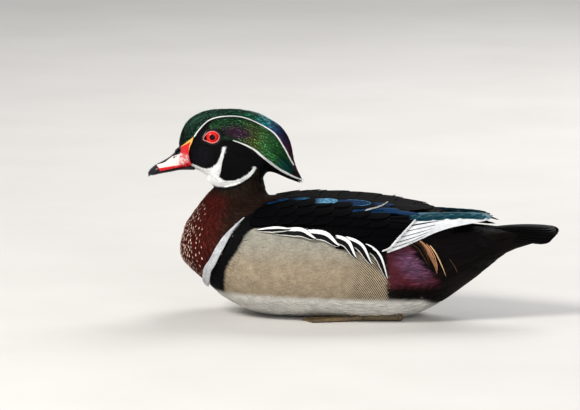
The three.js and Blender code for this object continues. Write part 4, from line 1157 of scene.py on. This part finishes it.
for side_name, side in SIDES:
    wing, scapulars = Coat(), Coat()
    for i, (down, rear, front, sunk) in enumerate(TIERS):
        tips = np.linspace(front + 0.03, rear, 7) - (i % 2) * 0.007
        roots = np.maximum(tips - np.linspace(0.044, 0.06, 7), front)
        coat, ink = (scapulars, "shoulder") if i < 2 else (wing, "wing")
        coat.laid(MANTLE, side, mantle_paths(roots, tips, down, 3), 0.0098,
                  (sunk - 0.0012, sunk + 0.0003), BROAD, roll=0.05, colour=INK[ink], curve=15)
    roots, tips, down, *lift = np.transpose(TERTIALS)
    scapulars.laid(MANTLE, side, mantle_paths(roots, tips, down, 4), 0.0055, np.transpose(lift),
                   BROAD, colour=INK["shoulder"], curve=20)
    # The right wing's tip lies a little under the left one's.
    under = 0.0022 * (side > 0)
    for i, (down, depth) in enumerate(REAR_ROWS):
        tips = np.arange(0.078 + 0.005 * (i % 2), 0.13, 0.011)
        tips = tips[tips < (0.121 if i < 2 else 0.13)]
        depth += under * (i > 1)
        wing.laid(MANTLE, side, mantle_paths(tips - 0.02, tips, down), 0.0042, (-depth, 0.0009 - depth),
                  BROAD, colour=INK["rear" if i > 1 else "wing"], curve=20)
    wing.beside(side, [[(0.085, 0.0925), (0.112, 0.0922), (0.1322, 0.0882)]], 0.0024,
                (-0.0016, -0.0008), LANCE, colour=INK["wing"], **WING)
    tips = rows_at(WHITE_TIPS, np.linspace(0.6, 3.9, 6))
    wing.beside(side, [[(x - 0.045, z + 0.004), (x - 0.022, z + 0.003), (x, z)] for x, z in tips], 0.0048,
                (-0.0016, 0.0001), BROAD, outer=wing_side, roll=0.06, colour=INK["wing"], curve=10)
    wing.beside(side, SPECULUM, 0.003, (-0.0004, 0.0009), BROAD, colour=INK["speculum"], **WING)
    # Teal feathers above the primaries, with their lower edges in line.
    for row, (above, half) in enumerate(((0.0043, 0.0022), (0.0028, 0.0024))):
        for tip in 0.068 + 0.0092 * np.arange(7) - 0.004 * (1 - row):
            x = tip + np.array([-0.024, -0.016, -0.008, 0.0])
            rise = (above - under) * np.interp(x, [0.06, 0.127], [1, 0.45])
            z = np.interp(x, *np.transpose(PRIMARY_HIGH)) + rise
            wing.beside(side, [np.stack([x, z], 1)], half, (-0.0004 - 0.0003 * row, 0.0007 - 0.0003 * row),
                        BROAD, colour=teal_from, vary=0.12, **WING)
    wing.made(f"wing_feathers_{side_name}", wing_plumage, "wing_feathers", f"wing_{side_name}")
    scapulars.made(f"scapulars_{side_name}", scapular_plumage, "wing_feathers")
    bright = Coat()
    for root, tip, down, half, ink, begins in BRIGHT:
        bright.laid(MANTLE, side, mantle_paths([root], tip, down, 2), half, (-0.0006, 0.0007), OVAL,
                    curve=20,
                    colour=lambda p: layered(
                        "wing", ("navy", smooth(p[:, 0], begins - 0.003, begins + 0.003)),
                        (ink, smooth(p[:, 0], begins, begins + 0.012))),
                    edge=lambda b, a, wide: ((1 - np.abs(b)) * wide
                                             + 0.01 * ((a < 0.5) | (ink != "navy") | (half < 0.005))))
    bright.made(f"bright_scapulars_{side_name}", sky_plumage, "wing_feathers")
    primaries = Coat()
    share = np.linspace(0, 1, 6)[:, None, None]
    primaries.beside(side, np.array(PRIMARY_LOW) * (1 - share) + np.array(PRIMARY_HIGH) * share, 0.0027,
                     (-0.001, -0.0004), WEB, outer=wing_side, roll=0.12, colour=INK["wing"], curve=10,
                     edge=lambda b, a, _: np.clip((1 + b * side) * 0.005, 0.0014 * smooth(a, 0.25, 0.5),
                                                  0.01 - 0.002 * smooth(a, 0.25, 0.5)))
    primaries.made(f"primaries_{side_name}", primary_plumage, "wing_feathers")
    trims = Coat()
    for line, widths, step, seed, half, lift, thick, ink in (
            (WHITE_TIPS, [0.0004, 0.0007, 0.0006, 0.0004], 0.00018, 81, 0.0004, (0.0002, 0.0007),
             0.00015, "white"),
            (SILVER_LINE, [0.0004, 0.0004, 0.0002], 0.0003, 83, 0.0003, (0.0012, 0.0017),
             0.00012, "silver")):
        trims.beside(side, strip_lines(line, widths, 0.005, step, seed + side), half, lift, HAIR,
                     outer=wing_side, colour=INK[ink], thick=thick, profile=BLADE)
    trims.made(f"wing_trims_{side_name}", white_plumage, "wing_feathers")

# The long feathers at the flank's upper edge, over the wing: their upper edges in the side view, half
# width, and the widths of the white band and of the black one below it.
FLANK_PATHS = [
    ([(-0.079, 0.0838), (-0.068, 0.0864), (-0.0575, 0.0875), (-0.045, 0.0859)], 0.0031, 0.0024, 0.0028),
    ([(-0.066, 0.083), (-0.05, 0.0868), (-0.034, 0.0872), (-0.0208, 0.0782)], 0.0047, 0.004, 0.0044),
    ([(-0.046, 0.081), (-0.029, 0.0862), (-0.0115, 0.0845), (0.0008, 0.0726)], 0.005, 0.0043, 0.0047),
    ([(-0.022, 0.079), (-0.0045, 0.0822), (0.009, 0.0775), (0.0158, 0.0623)], 0.0044, 0.0034, 0.0045),
    ([(-0.012, 0.077), (0.004, 0.0812), (0.021, 0.0745), (0.0295, 0.0563)], 0.0042, 0.0028, 0.0046),
    ([(0.008, 0.072), (0.0245, 0.0745), (0.037, 0.0645), (0.0423, 0.0425)], 0.0036, 0.0022, 0.0042)]
# The material's bands from a feather's upper edge: white, black, a white line and the barred rest.
EDGE_BANDS = [0, 0.004, 0.0075, 0.0081, 0.03]
THIN_LINE = 0.0006
flank_edge = plumage("flank_edge_plumage", rough=(0.62, 0.5), barbs=60, slope=24, barred=True, speck=0.06,
                     barb_depth=0.2, bands=[(0.0081, (0.75, 0.74, 0.7)), (0.0075, (0.004, 0.004, 0.004)),
                                            (0.004, (0.88, 0.88, 0.87)), (0.0005, (0.004, 0.004, 0.004))])
for side_name, side in SIDES:
    edge_coat = Coat()
    for i, (path, half, white, black) in enumerate(FLANK_PATHS):
        stops = [0, white, white + black, white + black + THIN_LINE, 0.03]
        edge_coat.beside(side, [path], half, (-0.004, 0.0007), CRESCENT, roll=-0.2, hung=True, bend=-0.6,
                         curve=10, colour=np.array([*INK["ash"][:3], 0.15 * i]),
                         edge=lambda b, a, _: np.interp((1 - b * side) * half, stops, EDGE_BANDS))
    edge_coat.made(f"flank_edge_{side_name}", flank_edge, "flank_feathers", f"flank_{side_name}")

# The rump's drooping plumes: a path, the spread, how many, the tone and how cream-coloured they are.
gold = plumage("gold_plumage", rough=(0.5, 0.4), barbs=40, slope=10, barb_depth=0.6, speck=0.2)
GOLD = [([(0.0684, 0.0763), (0.0742, 0.0699), (0.0796, 0.0617), (0.0829, 0.0527), (0.0838, 0.0463)],
         0.0008, 22, 0.95, 0.1),
        ([(0.0767, 0.0725), (0.082, 0.066), (0.0866, 0.0571), (0.0896, 0.0489), (0.0913, 0.0417)],
         0.00016, 5, 1.5, 1.0),
        ([(0.0935, 0.061), (0.0961, 0.0567), (0.099, 0.0513), (0.101, 0.0445)], 0.0001, 2, 0.22, 1.0),
        ([(0.061, 0.075), (0.0665, 0.072), (0.0715, 0.066), (0.0755, 0.058), (0.078, 0.051)],
         0.0014, 9, 0.05, 0.0)]
for side_name, side in SIDES:
    plumes = Coat()
    for path, spread, count, tone, cream in GOLD:
        for _ in range(count):
            sway = np.interp(np.linspace(0, 1, len(path)), [0, 0.5, 1], [0.9, 1, 0.15])
            shift = rng.normal(0, spread) * sway
            start, end = rng.uniform(0, 0.8), rng.uniform(len(path) - 1.5, len(path) - 1)
            line = rows_at(np.array(path) + np.stack([shift, shift * 0.5], 1), np.linspace(start, end, 5))
            ink = INK["rust"] + (INK["cream"] - INK["rust"]) * np.clip(cream + rng.normal(0, 0.25), 0, 1)
            plumes.beside(side, [line], 0.00034, (-0.0006, 0.001), HAIR, colour=ink * [tone, tone, tone, 1],
                          thick=0.00015, profile=BLADE, vary=0.6)
    plumes.made(f"rump_plumes_{side_name}", gold, "rump_feathers", flat=True)

# The tail: a fan laid round an arc, with coverts over and under its roots.
tail_plumage = plumage("tail_plumage", metal=0.8, rough=(0.55, 0.36), speck=0.1,
                       fringe=(0.002, 0.002, 0.002), specular=0.03)
TAIL = {"count": 14, "root": 0.118, "tip": 0.1862, "rounding": 0.0004, "fan": (27, 50), "half": 0.0076,
        "radius": 0.0225, "stack": 0.0005, "top": 0.0858, "arch": 2.2, "arch_x": 0.163}
tail = Coat()
for off in np.arange(TAIL["count"]) - (TAIL["count"] - 1) / 2:
    at = BROAD["at"]
    x = TAIL["root"] + (TAIL["tip"] - TAIL["rounding"] * (abs(off) - 3.6) ** 2 - TAIL["root"]) * at
    z = TAIL["top"] - TAIL["arch"] * (x - TAIL["arch_x"]) ** 2
    share = off / (TAIL["count"] - 1) * 2
    turn = np.radians(share * (TAIL["fan"][0] + (TAIL["fan"][1] - TAIL["fan"][0]) * at))
    up = np.stack([0 * x, np.sin(turn), np.cos(turn)], 1)
    line = np.stack([x, 0 * x, z - TAIL["radius"]], 1) + up * (TAIL["radius"] - TAIL["stack"] * abs(off))
    tail.add(line[None], up[None], TAIL["half"] * BROAD["wide"][None], np.array([[0.9, 0.5 + off / 40]]),
             INK["tail"], thick=0.0004, vary=0.09, curve=18)
tail.made("tail_feathers", tail_plumage, "tail_feathers", "tail")

# The rear of the body, closed to a point under the tail, and its coverts.
under_skin("tail_root", *loft(BODY, 12.2, len(BODY) - 1, 24, 40, -0.0014), "tail_feathers", "tail")
coverts = Coat()
for _, side in SIDES:
    for rear, low, high, row_count, per_row, long, half in ((0.118, 4, 62, 5, 8, 0.036, 0.0048),
                                                            (0.12, 66, 176, 7, 12, 0.034, 0.0042)):
        for i in range(row_count):
            root = 0.085 + (rear - 0.085) * i / (row_count - 1)
            between = (i % 2) * (high - low) / per_row / 2
            down = np.linspace(low, high, per_row) + rng.normal(0, 2, per_row) + between
            roots = root + rng.normal(0, 0.0015, per_row)
            tips = roots + long * rng.normal(1, 0.06, per_row)
            paths = level_paths(row_of(BODY, roots), row_of(BODY, tips), np.clip(down, 2, 178))
            coverts.laid(BODY, side, paths, half, (-0.001, 0.0008), LANCE, colour=paint, profile=BLADE,
                         vary=0.2)
# Under the tail they reach out along it to a point.
for row, (root, tip) in enumerate(((0.118, 0.156), (0.126, 0.166), (0.134, 0.176))):
    for down in np.arange(30 + 6 * (row % 2), 181, 12):
        for _, side in SIDES:
            away = math.radians(down)
            start, normal, _ = surface(BODY, row_of(BODY, np.array([root, (root + 0.146) / 2])),
                                       np.full(2, math.radians(90 - down)))
            beyond = tip - 0.156
            end = [tip, (0.0125 - 0.35 * beyond) * math.sin(away),
                   0.0745 - 0.0035 * math.cos(away - math.pi) + 0.12 * beyond]
            line = rows_at(np.concatenate([start, [end]]) * [1, side, 1], LANCE["at"] * 2)
            coverts.add(line[None], np.repeat(normal[:1] * [1, side, 1], len(line), 0)[None],
                        0.0042 * LANCE["wide"][None], unwrapped(line[:1]), INK["under"], profile=BLADE,
                        vary=0.2)
coverts.made("tail_coverts", body_plumage, "tail_feathers", "tail", flat=True)

# Outlines on the side of the bill: the black ridge, the pale patch before the base and the yellow margin.
CULMEN = [(-0.0735, 0.1338), (-0.0668, 0.136), (-0.0645, 0.137), (-0.0622, 0.1387), (-0.0585, 0.1417),
          (-0.0545, 0.1434), (-0.0508, 0.1446), (-0.0503, 0.152), (-0.09, 0.152), (-0.09, 0.1338)]
PALE = [(-0.075, 0.136), (-0.0668, 0.1385), (-0.058, 0.1432), (-0.054, 0.1445), (-0.0495, 0.1445),
        (-0.0495, 0.1352), (-0.0695, 0.1318)]
YELLOW = [(-0.0545, 0.1485), (-0.0444, 0.1585), (-0.038, 0.1625), (-0.038, 0.1578), (-0.0406, 0.1504),
          (-0.0422, 0.1446), (-0.0431, 0.1446), (-0.043, 0.152), (-0.0414, 0.1567), (-0.0475, 0.153)]
NOSTRIL = {"x": -0.0555, "z": 0.1417, "long": 0.0019, "high": 0.0007, "slope": 0.45}
horn = painted("bill_horn", 0.35, 0.15, 0.08, subsurface=0.03)
local = np.random.default_rng(5)
# Small pale spots: the ranges of their places along x and z and of their radius.
SPOT_ENDS = [(-0.0535, -0.0435), (0.134, 0.1465), (0.0004, 0.0011)]
blotches = np.stack([local.uniform(*ends, 30) for ends in SPOT_ENDS], 1)


def in_nostril(x, z, size=1.0):
    """Below 1 in the nostril's oval."""
    u, v = x - NOSTRIL["x"], z - NOSTRIL["z"] - NOSTRIL["slope"] * (x - NOSTRIL["x"])
    return (u / NOSTRIL["long"] / size) ** 2 + (v / NOSTRIL["high"] / size) ** 2


def flesh_colour(x, z):
    """The red of the bill with a pale mottled patch on its side."""
    pale = patch(x, z, (-0.05, 0.14), (0.0068, 0.005), 0.2, 0.35)
    spots = [("chalk", 0.75 * smooth(r - np.hypot(x - bx, z - bz), -0.0003, 0.0005) * pale)
             for bx, bz, r in blotches]
    return layered("red", ("pink", pale * 0.75), *spots,
                   ("chalk", inside(x, z, PALE) * smooth(-0.0505 - x, 0, 0.0025)))


def bill_colour(p, down):
    x, _, z = p.T
    nail = x < np.interp(z, [0.1297, 0.1346], [-0.0692, -0.0727])
    return layered(flesh_colour(x, z), ("red", down > 93), ("horn", inside(x, z, CULMEN) & (down < 80)),
                   ("nostril", (in_nostril(x, z, 1.1) < 1) & (down < 90)), ("horn", nail),
                   ("gape", (down > 104) & (x > -0.07)))


def bill_bumps(p, down):
    """The nail at the tip, the nostrils and the rolled edge, as heights over the loft."""
    x, z = p[..., 0], p[..., 2]
    nail = np.exp(-((x + 0.0775) / 0.0028) ** 2) * (down < 80)
    hole = np.exp(-in_nostril(x, z)) * (down < 90)
    return 0.0006 * nail - 0.0016 * hole + 0.00035 * np.exp(-((down - 96) / 6.0) ** 2)


def bill_half(name, rows, count, around, bumps, colour, slot, node):
    p, normal, angle = rings_of(rows, 0, len(rows) - 1, count, around)
    down = np.abs((np.degrees(angle) + 90) % 360 - 180)
    p = p + normal * bumps(p, down)[..., None]
    paints = colour(p.reshape(-1, 3), down.ravel())
    verts, tris = capped(p)
    obj = mesh_object(name, to_world(verts), tris, np.concatenate([paints, paints[:1], paints[-1:]]))
    dressed(obj, horn, slot, node)


bill_half("bill_upper_horn", BILL_UPPER, 110, 120, bill_bumps, bill_colour, "bill", "bill_upper")
bill_half("bill_lower_horn", BILL_LOWER, 40, 64, lambda p, down: 0 * down,
          lambda p, down: np.tile(INK["horn"], (len(p), 1)), "bill_dark", "bill_lower")


def dense(outline, step):
    result = []
    for a, b in zip(outline, outline[1:] + outline[:1]):
        count = max(1, round(math.dist(a, b) / step))
        result += [(a[0] + (b[0] - a[0]) * i / count, a[1] + (b[1] - a[1]) * i / count)
                   for i in range(count)]
    return np.array(result)


def shelled(name, points, paints, inward, material, slot, *nodes):
    """A thin closed shell from rings of points in the head's frame, with colours for its front."""
    row_count, around = points.shape[:2]
    front = points.reshape(-1, 3)
    tris = grid_tris(row_count, around)
    j = np.arange(around)
    k = (j + 1) % around
    parts = [tris, tris[:, ::-1] + len(front)]
    for ring, way in (((row_count - 1) * around, -1), (0, 1)):
        wall = [np.stack([ring + j, ring + k, len(front) + ring + j], 1),
                np.stack([ring + k, len(front) + ring + k, len(front) + ring + j], 1)]
        parts.append(np.concatenate(wall)[:, ::way])
    verts = np.concatenate([front, front + inward])
    tris = facing_out(verts, np.concatenate(parts))
    dressed(mesh_object(name, to_world(verts), tris, np.tile(paints, (2, 1))), material, slot, *nodes)


# The lobes of the bill's base, draped over the bill and face, with a yellow margin behind and above.
face_tree = tree_over(loft(HEAD, 0, 12, 50, 48), loft(BILL_UPPER, 0, 6, 40, 48))
rim = dense(LOBE, 0.0005)
rim = (np.roll(rim, 1, 0) + rim + np.roll(rim, -1, 0)) / 3
centre = np.array([-0.0462, 0.1445])
rings = np.concatenate([np.linspace(0.02, 0.8, 24), [0.84, 0.88, 0.91, 0.94, 0.97, 1.0]])
height = np.interp(rings, [0, 0.8, 0.9, 0.95, 0.97, 1], [0.0007, 0.0007, 0.0011, 0.0009, 0.0004, -0.0006])
flat = centre + (rim[None] - centre) * rings[:, None, None]
y = side_hits(face_tree, flat[..., 0], flat[..., 1], 0.006) + height[:, None]
fx, fz = flat.reshape(-1, 2).T
paints = layered(flesh_colour(fx, fz), ("yellow", inside(fx, fz, YELLOW)), ("horn", inside(fx, fz, CULMEN)))
for side_name, side in SIDES:
    shelled(f"bill_lobe_{side_name}", np.stack([flat[..., 0], side * y, flat[..., 1]], -1), paints,
            [0, side * -0.0022, 0], horn, "bill", "bill_upper")

eye_look = Look("eye_surface")
streaks = eye_look.noise(1800, 3.0)
streaked = eye_look.scaled(eye_look.attribute("Col"), eye_look.span(streaks, 0.3, 0.7, 0.8, 1.15))
eye_look.shade({"Base Color": streaked, "Roughness": 0.3, "Specular IOR Level": 0.08, "Coat Weight": 0.1,
                "Coat Roughness": 0.03, "Normal": eye_look.bump(streaks, 0.05, 0.0001)})
lid_look = painted("eyelid", 0.45, 0.1, 0.12, 1500, 0.3)
LID = {"wide": 0.0058, "high": 0.0049, "corner": 0.0021, "corner_turn": math.pi * 1.07,
       "corner_spread": 0.36}
# The lids from the ball outwards: how far out, and how high over the ball or the face.
LID_OUT = np.array([-0.0002, 0.0, 0.0002, 0.0004, 0.0006, 0.0008, 0.0012, 0.0018, 0.0026])[:, None]
LID_HIGH = np.array([-0.0006, 0.0002, 0.0005, 0.0006, 0.0005, 0.0002, 0.0001, 0.0, -0.0008])[:, None]
for side_name, side in SIDES:
    polar, turn = np.meshgrid(np.radians(np.concatenate([np.linspace(0, 60, 48), np.linspace(64, 180, 16)])),
                              np.linspace(0, 2 * math.pi, 56, endpoint=False), indexing="ij")
    radius = EYE["radius"] + 0.0003 * np.exp(-(polar / 0.45) ** 2)
    p = np.stack([EYE["x"] + radius * np.sin(polar) * np.cos(turn),
                  side * (EYE["side"] + radius * np.cos(polar)),
                  EYE["z"] + radius * np.sin(polar) * np.sin(turn)], -1).reshape(-1, 3)
    away = (EYE["radius"] * np.sin(polar)).ravel()
    rim_share = np.maximum(smooth(away, 0.005, 0.0053), polar.ravel() > 1.4)
    colour = layered("iris", ("iris_inner", smooth(0.004 - away, 0, 0.001) * 0.5),
                     ("pupil", smooth(0.0026 - away, -0.0001, 0.0001)), ("iris_rim", rim_share))
    ball = mesh_object(f"eyeball_{side_name}", to_world(p), facing_out(p, grid_tris(*polar.shape)), colour)
    dressed(ball, eye_look.material, "eye", f"eye_{side_name}")
    # The lids: a fleshy rim drawn out to a corner before the eye, with dark skin round it.
    s = np.linspace(0, 2 * math.pi, 96, endpoint=False)
    from_corner = (s - LID["corner_turn"] + math.pi) % (2 * math.pi) - math.pi
    corner = np.exp(-(from_corner / LID["corner_spread"]) ** 2)
    px = EYE["x"] + (LID["wide"] + LID["corner"] * corner + LID_OUT) * np.cos(s)
    pz = EYE["z"] + (LID["high"] + LID["corner"] * corner + LID_OUT) * np.sin(s) - 0.0004 * corner
    reach = np.hypot(px - EYE["x"], pz - EYE["z"])
    ball_y = EYE["side"] + np.sqrt(np.maximum((EYE["radius"] + 0.0002) ** 2 - reach ** 2, 0))
    py = np.maximum(ball_y, head_side(px, pz) - 0.0004) + LID_HIGH
    tone = layered("lid", ("lid_skin", smooth(np.broadcast_to(LID_OUT, px.shape).ravel(), 0.0005, 0.0008)))
    shelled(f"eyelid_{side_name}", np.stack([px, side * py, pz], -1), tone, [0, side * -0.002, 0],
            lid_look, "eye")

# The legs and feet keep their solids, with scaly skin.
leg_look = Look("leg_skin")
cells = leg_look.node("TexVoronoi", {"Scale": 700, "Vector": leg_look.place()}).outputs["Distance"]
yellow = leg_look.mix(leg_look.span(leg_look.noise(160, 3.0), 0.4, 0.6, 0, 1), (0.2, 0.12, 0.04, 1),
                      (0.12, 0.08, 0.035, 1))
leg_look.shade({"Base Color": leg_look.scaled(yellow, leg_look.span(cells, 0.1, 0.6, 1.1, 0.55)),
                "Roughness": 0.55, "Normal": leg_look.bump(cells, 0.5, 0.0004)})
for name in ("leg_left", "leg_right", "foot_left", "foot_right"):
    for slot in frame["nodes"][name].material_slots:
        slot.material = leg_look.material

FLOOR_HALF = 12
floor_look = Look("floor_surface")
clouds = floor_look.span(floor_look.noise(6, 4.0), 0.3, 0.7, 0, 1)
floor_look.shade({"Base Color": floor_look.mix(clouds, (0.62, 0.6, 0.57, 1), (0.66, 0.64, 0.61, 1)),
                  "Roughness": 0.75})
corners = np.array([(-1, -1, 0), (1, -1, 0), (1, 1, 0), (-1, 1, 0)]) * FLOOR_HALF
floor = mesh_object("floor", corners, np.array([[0, 1, 2], [0, 2, 3]]))
floor.data.materials.append(floor_look.material)


def area_light(name, place, aim, size, power, colour=(1, 1, 1)):
    data = bpy.data.lights.new(name, "AREA")
    data.shape = "DISK"
    data.size = size
    data.energy = power
    data.color = colour
    obj = bpy.data.objects.new(name, data)
    obj.location = place
    obj.rotation_euler = (Vector(aim) - Vector(place)).to_track_quat("-Z", "Y").to_euler()
    bpy.context.scene.collection.objects.link(obj)


area_light("key", (-1.5, -1.6, 1.9), (-0.02, 0, 0.07), 0.9, 72, (1, 0.97, 0.93))
area_light("fill", (1.4, -2.2, 0.9), (0, 0, 0.07), 2.0, 26, (0.93, 0.96, 1))
area_light("rim", (0.6, 1.8, 1.8), (0, 0, 0.08), 1.4, 40)
world = bpy.data.worlds.new("studio")
world.use_nodes = True
background = world.node_tree.nodes["Background"]
background.inputs[0].default_value = (0.88, 0.9, 0.93, 1)
background.inputs[1].default_value = 0.45
bpy.context.scene.world = world
bpy.context.scene.view_settings.view_transform = "Standard"

azimuth, elevation = math.radians(CAMERA["azimuth"]), math.radians(CAMERA["elevation"])
toward = Vector((math.sin(azimuth) * math.cos(elevation), -math.cos(azimuth) * math.cos(elevation),
                 math.sin(elevation)))
camera = bpy.data.objects.new("camera", bpy.data.cameras.new("camera"))
camera.data.lens = CAMERA["lens"]
camera.data.clip_end = 50
camera.location = Vector(CAMERA["aim"]) + toward * CAMERA["distance"]
camera.rotation_euler = toward.to_track_quat("Z", "Y").to_euler()
bpy.context.scene.collection.objects.link(camera)
bpy.context.scene.camera = camera
